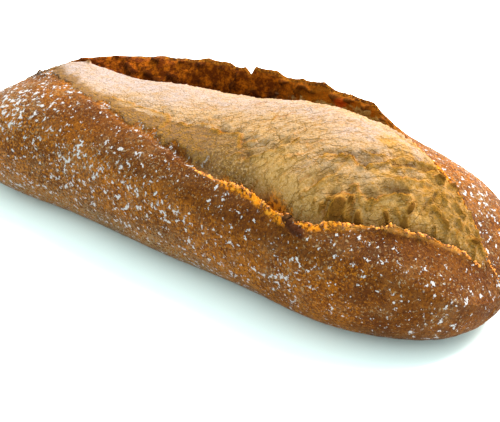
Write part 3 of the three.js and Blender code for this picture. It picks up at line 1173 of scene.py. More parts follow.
@dataclass(frozen=True)
class EarTexture:
    """The porous inner face of the ear, which baked hard where it was drawn thin.

    Attributes:
        pore: size of one pore.
        bubble: length, width and height of the larger bubbles.
        depth: how deep they are.
        thinnest: where along X the face is thin enough for a painted glow, and how far to either side.
        thin_place: that place in the section, and how far to either side.
    """

    pore: float = 3.4
    bubble: tuple[float, float, float] = (6.5, 5.0, 4.5)
    depth: float = 1.5
    thinnest: tuple[float, float] = (50.0, 4.0)
    thin_place: tuple[float, float] = (11.2, 0.5)

    def roughen(self, skin: Skin, weight: Array) -> None:
        """Opens pores in the inner face, and marks it, its painted pore shade and glow, and painted shade
        in the crease at its foot.

        Args:
            skin: the skin, which is changed.
            weight: 1 on the opened score, 0 on plain crust.
        """
        x, y, z, station = skin.x, skin.y, skin.z, skin.station
        face = skin.zone(Zone.EAR, 0.3) * weight * (1 - ease(80, 98, x))
        size = self.pore
        pores = Noise(31).layered(x / size, y / size, z / (0.8 * size), octaves=3, gain=0.6)
        bubbles = Noise(32).at(x / self.bubble[0], y / self.bubble[1], z / self.bubble[2])
        skin.push((0.5 * self.depth * pores - self.depth * ease(0.1, 0.45, bubbles)) * face)
        higher = 0.75 + 0.55 * ease(30, 70, x)
        foot = ease(10.4 + higher, 9.5 + higher, station + 0.5 * pores) * ease(0, 32, x)
        skin.kept["ear"] = face * (1 - foot)
        # Painted shade in the crease at the ear's foot, which the ear shades: tinted honey through warm,
        # darkened through under and deep.
        crease = ease(8.4, 9.2, station) * (1 - ease(11.4, 11.9, station)) * weight * ease(-80, -40, x)
        crease = crease * (1 - face * (1 - foot))
        skin.kept["warm"] = np.maximum(skin.kept["warm"], crease)
        skin.kept["under"] = np.maximum(skin.kept["under"], 0.55 * crease)
        skin.kept["deep"] = np.maximum(skin.kept["deep"], crease * (0.42 + 0.4 * pores).clip(0, 1))
        # Painted light: the glow where the ear is thinnest.
        skin.kept["glow"] = bell(*self.thinnest, x) * bell(*self.thin_place, station)
        # pore marks the deepest pores, for the painted shade in them.
        skin.kept["pore"] = ease(-0.2, 0.6, bubbles - 0.6 * pores) * face


@dataclass(frozen=True)
class CrustTexture:
    """The crust: taut over the walls, faintly blistered, wrinkled by its two ends.

    Attributes:
        lump: height of its broad lumps.
        lump_size: their length, width and height.
        blister: height of its fine blisters.
        blister_size: their length, width and height.
        pleat: height of the wrinkles on top by the left end and low down by the right one.
    """

    lump: float = 0.55
    lump_size: tuple[float, float, float] = (46.0, 30.0, 26.0)
    blister: float = 0.16
    blister_size: tuple[float, float, float] = (5.0, 4.0, 4.0)
    pleat: float = 0.5

    def roughen(self, skin: Skin, weight: Array) -> None:
        """Makes the crust uneven.

        Args:
            skin: the skin, which is changed.
            weight: 1 on the opened score, 0 on plain crust.
        """
        x, y, z = skin.x, skin.y, skin.z
        torn = np.clip((skin.zone(Zone.DOME, 0.3) + skin.zone(Zone.EAR, 0.3)) * weight, 0, 1)
        long, wide, high = self.lump_size
        out = self.lump * Noise(71).layered(x / long, y / wide, z / high, octaves=3, gain=0.42)
        long, wide, high = self.blister_size
        out += self.blister * Noise(72).layered(x / long, y / wide, z / high, octaves=2, gain=0.6)
        girth = np.arctan2(y, z - 30)
        pleats = Noise(73).ridged(x / 22, girth * 13 + 0.02 * x)
        left_top = ease(-55, -100, x) * ease(38, 52, z)
        right_low = ease(112, 140, x) * ease(34, 14, z)
        out += self.pleat * pleats * np.clip(left_top + 0.7 * right_low, 0, 1)
        skin.push(out * (1 - torn) * ease(0, 8, z))


@dataclass(frozen=True)
class Baking:
    """Where the loaf browned and where flour from the proving basket still lies on it.

    Attributes:
        margin: width of the toasted margin beside the quiet half of the score, also darkened with painted
            shade.
        skirt: how far the crust's torn edge reaches over the crumb there.
        shell: how far that edge stands up.
        plateau: the brink of the crumb's near flank, toasted and darkened with painted shade, in plan.
    """

    margin: float = 5.0
    skirt: float = 6.0
    shell: float = 0.8
    plateau: tuple[tuple[float, float], ...] = (
        (-122, 0),
        (-80, -12),
        (-29, -19),
        (0, -20),
        (33, -21.5),
        (45, -31),
        (70, -38),
    )

    def paint(self, skin: Skin, score: Score, loaf: PlainLoaf, weight: Array) -> None:
        """Raises the crust's torn edge, and marks torn crumb, toast, browning, flour and painted shade.

        Args:
            skin: the skin, which is changed.
            score: the score.
            loaf: the plain loaf.
            weight: 1 on the opened score, 0 on plain crust.
        """
        x, y, z, station = skin.x, skin.y, skin.z, skin.station
        near = score.band(loaf, skin.x[:, :1])[0]
        past_lip = np.where(station < 0, 30 * station, y - near)
        quiet = 1 - ease(8, 46, x)
        wander = Noise(81).layered(x / 17, y / 9, octaves=3, gain=0.6)
        scallop = Noise(85).layered(x / 10, 0.5, octaves=3, gain=0.6)
        past_edge = past_lip - (self.skirt + 3.5 * scallop) * (1 - ease(40, 58, x))
        soft = ease(-1.2, 1.6, past_edge + 1.6 * wander)
        crisp = ease(-0.2, 0.5, past_lip + 0.2 + 0.5 * wander)
        torn = crisp * (1 - quiet) + soft * quiet
        skin.kept["torn"] = torn * (1 - ease(11.2, 11.7, station)) * weight
        warm = (1 - ease(2.6, 5.2, station + 0.9 * wander)) * ease(8, 44, x)
        skin.kept["warm"] = np.where(station < 9, warm, ease(-5, 45, x))
        shell = ease(0.8, -0.6, past_edge + 1.6 * wander) * ease(-9, -2, past_edge)
        skin.push(self.shell * shell * quiet * weight * (station < 8))
        # The crumb low on the near flank is toasted more than the crest: partly toasting by the lip,
        # partly painted shade on the side turned from the key light.
        low = 1 - ease(3.2, 6.2, station + 0.9 * wander)
        toasted = np.maximum(0.6 * low, 1.05 * ease(84, 112, x + 14 * wander))
        upper = ease(4.6, 6.0, station + 0.5 * wander)
        toasted = np.maximum(toasted, (0.65 - 0.43 * upper) * ease(-70, 30, x + 10 * wander))
        margin = bell(2.0, self.margin, past_edge) * quiet
        ragged = Noise(83).layered(x / 6, y / 5, octaves=3, gain=0.6)
        clumpy = Noise(84).layered(x / 26, y / 20, z / 16, octaves=3, gain=0.6)
        below = line_through(self.plateau)(x) - y + 1.6 * ragged
        shelf = ease(-0.6, 0.8, below) * ease(-75, -30, x) * (1 - ease(38, 66, x))
        toasted = toasted * (0.1 + 0.9 * ease(-90, -10, x))
        skin.kept["toast"] = np.clip(np.maximum(toasted + 0.25 * margin, 0.55 * shelf), 0, 2)
        # Tan on the margin, the near flank's shelf and the right end: partly toast and dust, partly
        # painted shade where the crumb slopes towards the near side.
        dry = np.maximum(margin * (station < 8), shelf)
        skin.kept["dry"] = np.clip(np.maximum(dry, 0.45 * ease(98, 128, x + 10 * wander)), 0, 1)
        right = ease(-60, 0, x)
        top = ease(-0.45, -0.08, station) * ease(4, 0, station) * weight
        brown = 0.28 * right + top * (0.6 + 0.3 * right) + 0.8 * ease(104, 138, x) + 0.35 * clumpy
        behind = ease(0, 16, y)
        brown = brown - 0.4 * ease(9, 12, station) * behind
        skin.kept["brown"] = np.clip(brown, 0, 1)
        left_top = ease(-55, -105, x) * ease(36, 50, z)
        clumps = Noise(82).layered(x / 34, y / 24, z / 20, octaves=3, gain=0.6)
        far = ease(12, 13, station) * behind
        flour = 0.52 + 0.34 * clumps + 0.1 * ease(8, 44, z) - 0.16 * ease(10, 110, x)
        flour = flour - 0.2 * top + 0.36 * left_top + 0.12 * far
        rim = ease(10.8, 11.4, station) * (1 - ease(13.0, 13.9, station + wander)) * weight
        rim = rim * (1 - ease(84, 96, x))
        skin.kept["flour"] = np.clip(flour, 0, 1) - 2 * rim
        net = ease(34, 10, z + 8 * clumps) * ease(-130, -95, x) * (1 - ease(10, 70, x))
        skin.kept["net"] = np.clip(net + 0.35 * ease(18, 4, z), 0, 1)


@dataclass(frozen=True)
class LooseCrumbs:
    """Crumbs that cling to the near lip and to the crease at the foot of the ear.

    Attributes:
        count: how many there are.
        smallest: radius of the smallest.
        largest: radius of the largest, which are few.
        on_lip: the place in the section where most lie, and how far to either side.
        on_foot: the same in the ear's crease, where they are fewer and smaller.
        seed: which throw of the crumbs it is.
    """

    count: int = 1500
    smallest: float = 0.25
    largest: float = 0.85
    on_lip: tuple[float, float] = (0.9, 0.7)
    on_foot: tuple[float, float] = (9.2, 0.7)
    seed: int = 5
    name: str = "clinging_crumbs"

    def build(self, skin: Skin, finish: bpy.types.Material) -> bpy.types.Object:
        """Makes the crumbs as one piece.

        Args:
            skin: the finished skin, on which they lie.
            finish: the material that they wear.

        Returns:
            The piece.
        """
        chance = np.random.default_rng(self.seed)
        x, y, station = skin.x, skin.y, skin.station
        wander = Noise(95).layered(x / 9, y / 9, octaves=2)
        lip = bell(*self.on_lip, station) * (station > 0.1) * ease(12, 34, x) * ease(146, 138, x)
        foot = 0.25 * bell(*self.on_foot, station) * ease(-60, -10, x)
        likely = (lip * (0.5 + wander).clip(0.1, 2) + foot) * (station < 15)
        likely = (likely / likely.sum()).ravel()
        chosen = chance.choice(likely.size, self.count, p=likely)
        nx, ny, nz = skin.normals()
        place = np.stack([x, y, skin.z], -1).reshape(-1, 3)[chosen]
        normal = np.stack([nx, ny, nz], -1).reshape(-1, 3)[chosen]
        size = self.smallest + (self.largest - self.smallest) * chance.random(self.count) ** 3
        size = np.where(station.ravel()[chosen] > 5, 0.7 * size, size)
        seed = bpy.data.meshes.new("seed")
        shape = bmesh.new()
        bmesh.ops.create_icosphere(shape, subdivisions=2, radius=1.0)
        shape.to_mesh(seed)
        shape.free()
        ball = np.array([vertex.co for vertex in seed.vertices])
        faces = np.array([list(face.vertices) for face in seed.polygons])
        bpy.data.meshes.remove(seed)
        points = []
        for k in range(self.count):
            stretch = chance.uniform(0.5, 1.5, 3)
            spot = ball * 1.1 + 7.3 * k
            rough = 1 + 0.7 * Noise(96).at(spot[:, 0], spot[:, 1], spot[:, 2])
            turn = np.linalg.qr(chance.normal(size=(3, 3)))[0]
            turned = (ball * stretch * rough[:, None] * size[k]) @ turn
            points.append(place[k] + normal[k] * 0.25 * size[k] + turned)
        mesh = bpy.data.meshes.new(self.name)
        every = np.concatenate([faces + k * len(ball) for k in range(self.count)])
        mesh.from_pydata((np.concatenate(points) * METRES).tolist(), [], every.tolist())
        mesh.polygons.foreach_set("use_smooth", np.ones(len(mesh.polygons), bool))
        piece = bpy.data.objects.new(self.name, mesh)
        bpy.context.scene.collection.objects.link(piece)
        mesh.materials.append(finish)
        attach(piece, "root")
        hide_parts("loaf")
        return piece


@dataclass
class Loaf:
    """The whole loaf: its form, its skin and what baking did to it.

    Attributes:
        plain: its form before the score opened.
        score: the score and what rose out of it.
        cutter: how its skin is laid over that form.
        tears: the torn crumb.
        ear: the ear's inner face.
        crust: the crust.
        rims: the rims of the burst.
        baking: where it browned and where flour lies.
    """

    plain: PlainLoaf
    score: Score
    cutter: SkinCutter
    tears: Tears
    ear: EarTexture
    crust: CrustTexture
    rims: CrispRims
    baking: Baking
    name: str = "baked_loaf"

    def skin(self) -> Skin:
        """Cuts the skin, bakes it, and marks where the dome's near side gets painted shade.

        Returns:
            The skin, roughened and marked.
        """
        skin = self.cutter.cut(self.plain, self.score)
        weight = self.score.weight(skin.x)
        self.baking.paint(skin, self.score, self.plain, weight)
        self.crust.roughen(skin, weight)
        self.tears.tear(skin, weight)
        self.rims.crumble(skin, weight)
        self.ear.roughen(skin, weight)
        # Painted shade: where the dome turns towards the near side, away from the key light, its crumb is
        # tinted honey.
        shaded_side = ease(0.0, 0.45, -skin.normals()[1]) * skin.zone(Zone.DOME, 0.35) * weight
        skin.kept["shaded_side"] = shaded_side * (0.4 + 0.6 * ease(-70, 10, skin.x))
        return skin

    def mesh(self, skin: Skin) -> bpy.types.Mesh:
        """Makes one closed mesh in metres, with a fan on each tip and the marks as attributes.

        Args:
            skin: the finished skin.

        Returns:
            The mesh, shaded smooth.
        """
        rows, columns = skin.x.shape
        grid = np.stack([skin.x, skin.y, skin.z], -1).reshape(-1, 3)
        half = self.plain.length / 2
        tips = np.array([[-half, 0, self.plain.tip], [half, 0, self.plain.tip]])
        place = np.concatenate([grid, tips]) * METRES
        index = np.arange(rows * columns).reshape(rows, columns)
        ahead = np.roll(index, -1, 1)
        quads = np.stack([index[:-1], index[1:], ahead[1:], ahead[:-1]], -1).reshape(-1, 4)
        first, last = rows * columns, rows * columns + 1
        start_fan = np.stack([np.full(columns, first), index[0], ahead[0]], -1)
        end_fan = np.stack([np.full(columns, last), ahead[-1], index[-1]], -1)
        mesh = bpy.data.meshes.new(self.name)
        mesh.from_pydata(place.tolist(), [], quads.tolist() + start_fan.tolist() + end_fan.tolist())
        mesh.polygons.foreach_set("use_smooth", np.ones(len(mesh.polygons), bool))
        for label, values in skin.kept.items():
            layer = mesh.attributes.new(label, "FLOAT", "POINT")
            ends = [float(values[0].mean()), float(values[-1].mean())]
            layer.data.foreach_set("value", np.concatenate([values.ravel(), ends]).astype(np.float32))
        mesh.validate()
        mesh.update()
        return mesh

    def build(self, skin: Skin, finish: bpy.types.Material) -> bpy.types.Object:
        """Makes the loaf's piece, dresses it and puts it in the frame's place.

        Args:
            skin: the finished skin.
            finish: the material that it wears.

        Returns:
            The piece.
        """
        piece = bpy.data.objects.new(self.name, self.mesh(skin))
        bpy.context.scene.collection.objects.link(piece)
        piece.data.materials.append(finish)
        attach(piece, "root")
        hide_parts("loaf")
        return piece


# ---------------------------------------------------------------------------------------------
# Finishes
# ---------------------------------------------------------------------------------------------


def add_node(
    tree: bpy.types.NodeTree,
    kind: str,
    inputs: dict[str | int, object] | None = None,
    **properties: object,
) -> bpy.types.Node:
    """Adds a node with its settings and links.

    Args:
        tree: the material's tree.
        kind: the node's type.
        inputs: by name or number, a value, or the node or output socket that feeds it.
        **properties: properties of the node itself.

    Returns:
        The node.
    """
    node = tree.nodes.new(kind)
    for name, value in properties.items():
        setattr(node, name, value)
    usable = [socket for socket in node.inputs if socket.enabled]
    for name, value in (inputs or {}).items():
        socket = usable[name] if isinstance(name, int) else next(s for s in usable if s.name == name)
        if isinstance(value, bpy.types.Node):
            value = next(output for output in value.outputs if output.enabled)
        if isinstance(value, bpy.types.NodeSocket):
            tree.links.new(value, socket)
        else:
            socket.default_value = value
    return node


def lay_coats(tree: bpy.types.NodeTree, colour: object, coats: Sequence[tuple]) -> object:
    """Lays coats over a colour, one after another.

    Args:
        tree: the material's tree.
        colour: the bare colour.
        coats: pairs of how much of a coat shows and its colour.

    Returns:
        The colour of all of them together.
    """
    for share, coat in coats:
        inputs = {"Factor": share, "A": colour, "B": linear(coat) if isinstance(coat, str) else coat}
        colour = add_node(tree, "ShaderNodeMix", inputs, data_type="RGBA")
    return colour


@dataclass(frozen=True)
class Span:
    """How much of a coat shows: nothing at low, its most at high. Low may be the larger one."""

    low: float
    high: float
    most: float = 1.0

    def mask(self, tree: bpy.types.NodeTree, source: object) -> bpy.types.Node:
        """Adds the span over anything that a mark or a pattern gives."""
        return add_node(
            tree,
            "ShaderNodeMapRange",
            {"Value": source, "From Min": self.low, "From Max": self.high, "To Max": self.most},
            interpolation_type="SMOOTHSTEP",
        )


@dataclass(frozen=True)
class Mottle:
    """A pattern of noise, and the span of it that shows.

    Attributes:
        size: its wavelength in millimetres.
        low: the noise at which it starts to show, unless only the bare noise is used.
        high: the noise at which it is strongest.
        most: its strength there.
        detail: how many finer layers it has.
        roughness: how strong they are.
        seed: which noise it is.
    """

    size: float
    low: float = 0.0
    high: float = 1.0
    most: float = 1.0
    detail: float = 3.0
    roughness: float = 0.6
    seed: float = 0.0

    def noise(self, tree: bpy.types.NodeTree, place: object) -> bpy.types.Node:
        """Adds the bare noise."""
        return add_node(
            tree,
            "ShaderNodeTexNoise",
            {
                "Vector": place,
                "W": self.seed,
                "Scale": 1 / (self.size * METRES),
                "Detail": self.detail,
                "Roughness": self.roughness,
            },
            noise_dimensions="4D",
        )

    def mask(self, tree: bpy.types.NodeTree, source: object) -> bpy.types.Node:
        """Adds the span, over the noise or anything made from it."""
        return Span(self.low, self.high, self.most).mask(tree, source)

    def over(self, tree: bpy.types.NodeTree, place: object) -> bpy.types.Node:
        """Adds noise and span together."""
        return self.mask(tree, self.noise(tree, place))


@dataclass(frozen=True)
class WheatCrust:
    """Wheat crust baked on a hot floor: amber where it is thick, darker where it blistered.

    A hard matt skin whose colour wanders from gold to dark amber over a few millimetres, with
    finer dark grains, and fine honey glints painted into the colour as highlights.
    """

    gold: str = "81470A"
    amber: str = "5E2E05"
    dark: str = "311403"
    # honey: the colour of the painted highlight glints
    honey: str = "9F5E11"
    umber: str = "331604"
    roughness: float = 0.55
    blotch: Mottle = Mottle(12, 0.36, 0.64, detail=5, roughness=0.62)
    shade: Mottle = Mottle(40, 0.46, 0.68, 0.6, detail=2, seed=1.3)
    freckle: Mottle = Mottle(1.4, 0.47, 0.60, 0.85, detail=4, roughness=0.72, seed=2.1)
    glint: Mottle = Mottle(1.1, 0.51, 0.62, 0.75, detail=3, roughness=0.7, seed=3.7)
    baked: Mottle = Mottle(7, 0.4, 1.5, 0.7, detail=4, roughness=0.65, seed=4.9)

    def colour(self, tree: bpy.types.NodeTree, place: object, brown: object) -> object:
        """Lays amber, shade, freckles and painted highlight glints over gold, and umber where it baked
        longest.

        Args:
            tree: the material's tree.
            place: coordinates in metres.
            brown: how brown it baked, 0 to 1.

        Returns:
            The crust's colour.
        """
        longest = {0: self.baked.noise(tree, place), 1: 0.9, 2: brown}
        longest = add_node(tree, "ShaderNodeMath", longest, operation="MULTIPLY_ADD")
        coats = (
            (self.blotch.over(tree, place), self.amber),
            (self.shade.over(tree, place), self.dark),
            (self.freckle.over(tree, place), self.dark),
            # painted highlights: small honey glints
            (self.glint.over(tree, place), self.honey),
            (self.baked.mask(tree, longest), self.umber),
        )
        return lay_coats(tree, linear(self.gold), coats)


@dataclass(frozen=True)
class OvenFlour:
    """Dry flour left on the crust: a haze, a net in fine wrinkles, and flecks of 1 to 3 mm.

    It is matt and greyish white where it lies thick, and takes the crust's colour where thin.

    Attributes:
        net_mm: width of one cell of the net.
        net_warp: how far the net's lines stray, in metres.
        net_line: how far from a cell's edge its line shows.
        flock: how much readier flecks are where flour lies thick.
        drawn_down: how flecks are drawn out over the walls.
    """

    white: str = "9D9798"
    grey: str = "796349"
    dust: str = "7E5E3E"
    haze: Mottle = Mottle(9, 0.42, 0.72, 0.33, detail=5, roughness=0.72, seed=4.2)
    warp: Mottle = Mottle(1.4, detail=3, roughness=0.7, seed=5.5)
    specks: Mottle = Mottle(1.1, 0.64, 0.69, 0.7, detail=2, roughness=0.72, seed=5.9)
    flecks: Mottle = Mottle(2.6, 0.65, 0.68, 0.95, detail=3, roughness=0.68, seed=6.3)
    net_mm: float = 2.3
    net_warp: tuple[float, float, float] = (0.002, 0.002, 0.002)
    net_line: Span = Span(0.14, 0.03, 0.85)
    flock: float = 0.12
    drawn_down: tuple[float, float, float] = (1.0, 0.95, 0.92)

    def cover(
        self, tree: bpy.types.NodeTree, place: object, crust: object, amount: object, net: object
    ) -> tuple[bpy.types.Node, bpy.types.Node]:
        """Dusts the crust.

        Args:
            tree: the material's tree.
            place: coordinates in metres.
            crust: the bare crust's colour.
            amount: how thick flour lies, 0 to 1.
            net: where it lies in fine wrinkles, 0 to 1.

        Returns:
            The dusted colour and the flecks alone.
        """
        haze = {0: self.haze.over(tree, place), 1: amount}
        warp = {0: self.warp.noise(tree, place).outputs["Color"], 1: self.net_warp, 2: place}
        cells = {
            "Vector": add_node(tree, "ShaderNodeVectorMath", warp, operation="MULTIPLY_ADD"),
            "Scale": 1 / (self.net_mm * METRES),
        }
        wrinkles = add_node(tree, "ShaderNodeTexVoronoi", cells, feature="DISTANCE_TO_EDGE")
        lines = {0: self.net_line.mask(tree, wrinkles), 1: net}
        coats = [
            (add_node(tree, "ShaderNodeMath", haze, operation="MULTIPLY"), self.dust),
            (add_node(tree, "ShaderNodeMath", lines, operation="MULTIPLY"), self.grey),
        ]
        wall = {0: place, 1: self.drawn_down}
        wall = add_node(tree, "ShaderNodeVectorMath", wall, operation="MULTIPLY")
        for dusting, coat in ((self.specks, self.grey), (self.flecks, self.white)):
            lift = {0: amount, 1: self.flock, 2: dusting.noise(tree, wall)}
            lifted = add_node(tree, "ShaderNodeMath", lift, operation="MULTIPLY_ADD")
            coats.append((dusting.mask(tree, lifted), coat))
        return lay_coats(tree, crust, coats), coats[-1][0]


@dataclass(frozen=True)
class TornCrumb:
    """Crumb torn open and dried by the oven: matt, cream where it is fresh, gold where toasted.

    Fibres and thin creases run along the drawn strands, the oven left fine specks on it, its free
    edges are crisp and golden, and painted shade darkens its creases, pits and the hollows below.
    """

    cream: str = "8B7B78"
    straw: str = "8D7259"
    gold: str = "946A32"
    tan: str = "563C28"
    olive: str = "614410"
    honey: str = "9F7640"
    # Painted highlights: pale specks laid where the crumb is warm.
    glint_speck: str = "A07D54"
    crisp: str = "82460A"
    # Painted shade in creases, hollows and beside edges, and also the colour of fine toasted specks.
    shade_and_speck: str = "80561A"
    # Painted shade: under free edges, in pits and in a thin line under each edge.
    shade: str = "4B2A06"
    roughness: float = 0.85
    patch: Mottle = Mottle(13, 0.38, 0.62, detail=5, roughness=0.62, seed=6.1)
    fleece: Mottle = Mottle(3.0, 0.44, 0.68, 0.5, detail=4, roughness=0.7, seed=7.4)
    fibre: Mottle = Mottle(2.0, 0.44, 0.66, 0.3, detail=4, roughness=0.66, seed=8.2)
    grain: Mottle = Mottle(1.0, 0.50, 0.64, 0.5, detail=3, roughness=0.72, seed=9.3)
    crinkle: Mottle = Mottle(4.2, 0.035, 0.0, 1.0, detail=3, roughness=0.6, seed=9.9)
    specks: Mottle = Mottle(1.15, 0.48, 0.62, 0.8, detail=2, roughness=0.7, seed=14.6)
    rag: Mottle = Mottle(2.2, detail=3, roughness=0.65, seed=10.2)

    def line(
        self, tree: bpy.types.NodeTree, place: object, marks: dict[str, object], off: float, half: float
    ) -> bpy.types.Node:
        """Adds a thin ragged line beside each tear, used for painted shadows under edges and for toasted
        edges.

        Args:
            tree: the material's tree.
            place: coordinates in metres.
            marks: outputs of the skin's marks.
            off: how far to the left of the tear the line runs, in millimetres.
            half: half its width in millimetres.

        Returns:
            1 on the line, 0 off it.
        """
        noise = {0: self.rag.noise(tree, place), 1: 1.2, 2: marks["beside"]}
        beside = add_node(tree, "ShaderNodeMath", noise, operation="MULTIPLY_ADD")
        away = add_node(tree, "ShaderNodeMath", {0: beside, 1: off + 0.6}, operation="SUBTRACT")
        away = add_node(tree, "ShaderNodeMath", {0: away}, operation="ABSOLUTE")
        on_line = Span(half, 0.35 * half).mask(tree, away)
        return add_node(tree, "ShaderNodeMath", {0: on_line, 1: marks["crossed"]}, operation="MULTIPLY")

    def speckle(
        self, tree: bpy.types.NodeTree, place: object, toast: object, seed: float
    ) -> bpy.types.Node:
        """Adds fine specks, the more of them the more the crumb toasted; the pale ones are painted
        highlights.

        Args:
            tree: the material's tree.
            place: coordinates in metres.
            toast: how toasted the crumb is.
            seed: which specks they are.

        Returns:
            1 on a speck, 0 off it.
        """
        specks = replace(self.specks, seed=self.specks.seed + seed).over(tree, place)
        return add_node(
            tree, "ShaderNodeMath", {0: specks, 1: toast}, operation="MULTIPLY", use_clamp=True
        )

    def creases(self, tree: bpy.types.NodeTree, drawn: object) -> bpy.types.Node:
        """Adds thin creases along the drawn strands, for their relief and for the painted shade in them.

        Args:
            tree: the material's tree.
            drawn: coordinates that run along the drawn strands.

        Returns:
            1 on a crease, 0 off it.
        """
        middle = {0: self.crinkle.noise(tree, drawn), 1: 0.5}
        around = add_node(tree, "ShaderNodeMath", middle, operation="SUBTRACT")
        return self.crinkle.mask(tree, add_node(tree, "ShaderNodeMath", {0: around}, operation="ABSOLUTE"))

    def colour(
        self,
        tree: bpy.types.NodeTree,
        place: object,
        drawn: object,
        creases: object,
        marks: dict[str, object],
    ) -> object:
        """Lays toast, patches and fibres over the cream, colours edges, and paints shade in creases, under
        edges and in hollows.

        Args:
            tree: the material's tree.
            place: coordinates in metres.
            drawn: coordinates that run along the drawn strands.
            creases: 1 on a crease.
            marks: outputs of the skin's marks.

        Returns:
            The colour.
        """
        patched = {0: self.patch.noise(tree, place), 1: 0.6, 2: marks["toast"]}
        toast = add_node(tree, "ShaderNodeMath", patched, operation="MULTIPLY_ADD")
        coats = (
            (Span(0.25, 0.85).mask(tree, toast), self.straw),
            (Span(0.75, 1.4, 0.9).mask(tree, toast), self.gold),
            (Span(1.4, 2.2, 0.9).mask(tree, toast), self.tan),
            (self.fleece.over(tree, place), self.straw),
            # painted shade: honey where the dome faces away from the key light
            (Span(0.0, 0.9, 0.5).mask(tree, marks["shaded_side"]), self.honey),
            (Span(0.2, 0.9, 0.8).mask(tree, marks["warm"]), self.honey),
            # tan: partly toast and dust, partly painted shade on the near flank
            (Span(0.1, 1.0, 0.9).mask(tree, marks["dry"]), self.tan),
            (self.fibre.over(tree, drawn), self.gold),
            (self.grain.over(tree, place), self.olive),
            (self.speckle(tree, place, marks["toast"], 0.0), self.shade_and_speck),
            # painted highlight specks
            (self.speckle(tree, place, marks["warm"], 4.0), self.glint_speck),
            # painted shade in the thin creases
            (Span(0.1, 1.0, 0.5).mask(tree, creases), self.shade_and_speck),
            (Span(0.25, 0.9, 0.75).mask(tree, marks["edge"]), self.crisp),
            # painted shade under free edges and in the ear's crease
            (Span(0.0, 0.7, 0.7).mask(tree, marks["under"]), self.shade_and_speck),
            (Span(0.4, 1.1, 0.6).mask(tree, marks["under"]), self.shade),
            # painted shade in pits, bubbles, the far crevice and the ear's crease
            (Span(0.0, 0.5, 0.7).mask(tree, marks["deep"]), self.shade_and_speck),
            (Span(0.35, 0.85, 0.85).mask(tree, marks["deep"]), self.shade),
            # painted shade beside each tear's edge and a thin painted shadow just under it; the crisp line
            # after them is the toasted edge
            (self.line(tree, place, marks, -0.45, 0.6), self.shade_and_speck),
            (self.line(tree, place, marks, -0.35, 0.2), self.shade),
            (self.line(tree, place, marks, 0.2, 0.3), self.crisp),
        )
        return lay_coats(tree, linear(self.cream), coats)


@dataclass(frozen=True)
class EarFace:
    """The inner face of the ear: thin porous crumb, baked hard to a dark orange brown.

    Amber veins run between its pores, darkened with painted shade, and a painted glow marks its thinnest
    place.
    """

    brown: str = "4D1E02"
    # dark: painted shade in the pores
    dark: str = "220A01"
    amber: str = "974B07"
    caramel: str = "8A4C0C"
    # thin: the painted glow where the ear is thinnest
    thin: str = "9C3A09"
    vein: Mottle = Mottle(3.6, 0.44, 0.64, 0.8, detail=5, roughness=0.74, seed=10.6)

    def colour(self, tree: bpy.types.NodeTree, place: object, marks: dict[str, object]) -> object:
        """Lays amber veins, painted shade in the pores and a painted glow at its thinnest place over
        brown.

        Args:
            tree: the material's tree.
            place: coordinates in metres.
            marks: outputs of the skin's marks.

        Returns:
            The colour.
        """
        coats = (
            (Span(0.2, 1.0, 0.7).mask(tree, marks["warm"]), self.caramel),
            (self.vein.over(tree, place), self.amber),
            # painted shade in the deepest pores
            (Span(0.25, 0.9, 0.7).mask(tree, marks["pore"]), self.dark),
            # painted glow where the ear is thinnest
            (Span(0.3, 0.9, 0.9).mask(tree, marks["glow"]), self.thin),
        )
        return lay_coats(tree, linear(self.brown), coats)


@dataclass(frozen=True)
class CrispRim:
    """Rims of crumb toasted to orange gold: dry, rough, and painted with shade for the gaps between the
    crumbs.
    """

    orange: str = "C8730F"
    # dark: painted shade of the gaps between crumbs, laid at random
    dark: str = "643205"
    pale: str = "BA8127"
    # pocket: painted shade inside the pocket under the near lip
    pocket: str = "301406"
    patch: Mottle = Mottle(1.7, 0.44, 0.58, detail=3, roughness=0.7, seed=11.8)
    crust: Mottle = Mottle(1.8, 0.49, 0.62, 0.75, detail=3, roughness=0.7, seed=12.7)
    roughness: float = 0.8

    def colour(self, tree: bpy.types.NodeTree, place: object) -> object:
        """Lays pale crumb and the painted shade of gaps over orange."""
        coats = ((self.crust.over(tree, place), self.pale), (self.patch.over(tree, place), self.dark))
        return lay_coats(tree, linear(self.orange), coats)

    def crumbs(self) -> bpy.types.Material:
        """Builds the material of the loose crumbs.

        Returns:
            The material, ready to wear.
        """
        material = bpy.data.materials.new("toasted_crumbs")
        material.use_nodes = True
        tree = material.node_tree
        tree.nodes.clear()
        place = add_node(tree, "ShaderNodeTexCoord").outputs["Object"]
        matt = {"Base Color": self.colour(tree, place), "Roughness": self.roughness}
        surface = add_node(tree, "ShaderNodeBsdfPrincipled", matt)
        add_node(tree, "ShaderNodeOutputMaterial", {"Surface": surface})
        return material


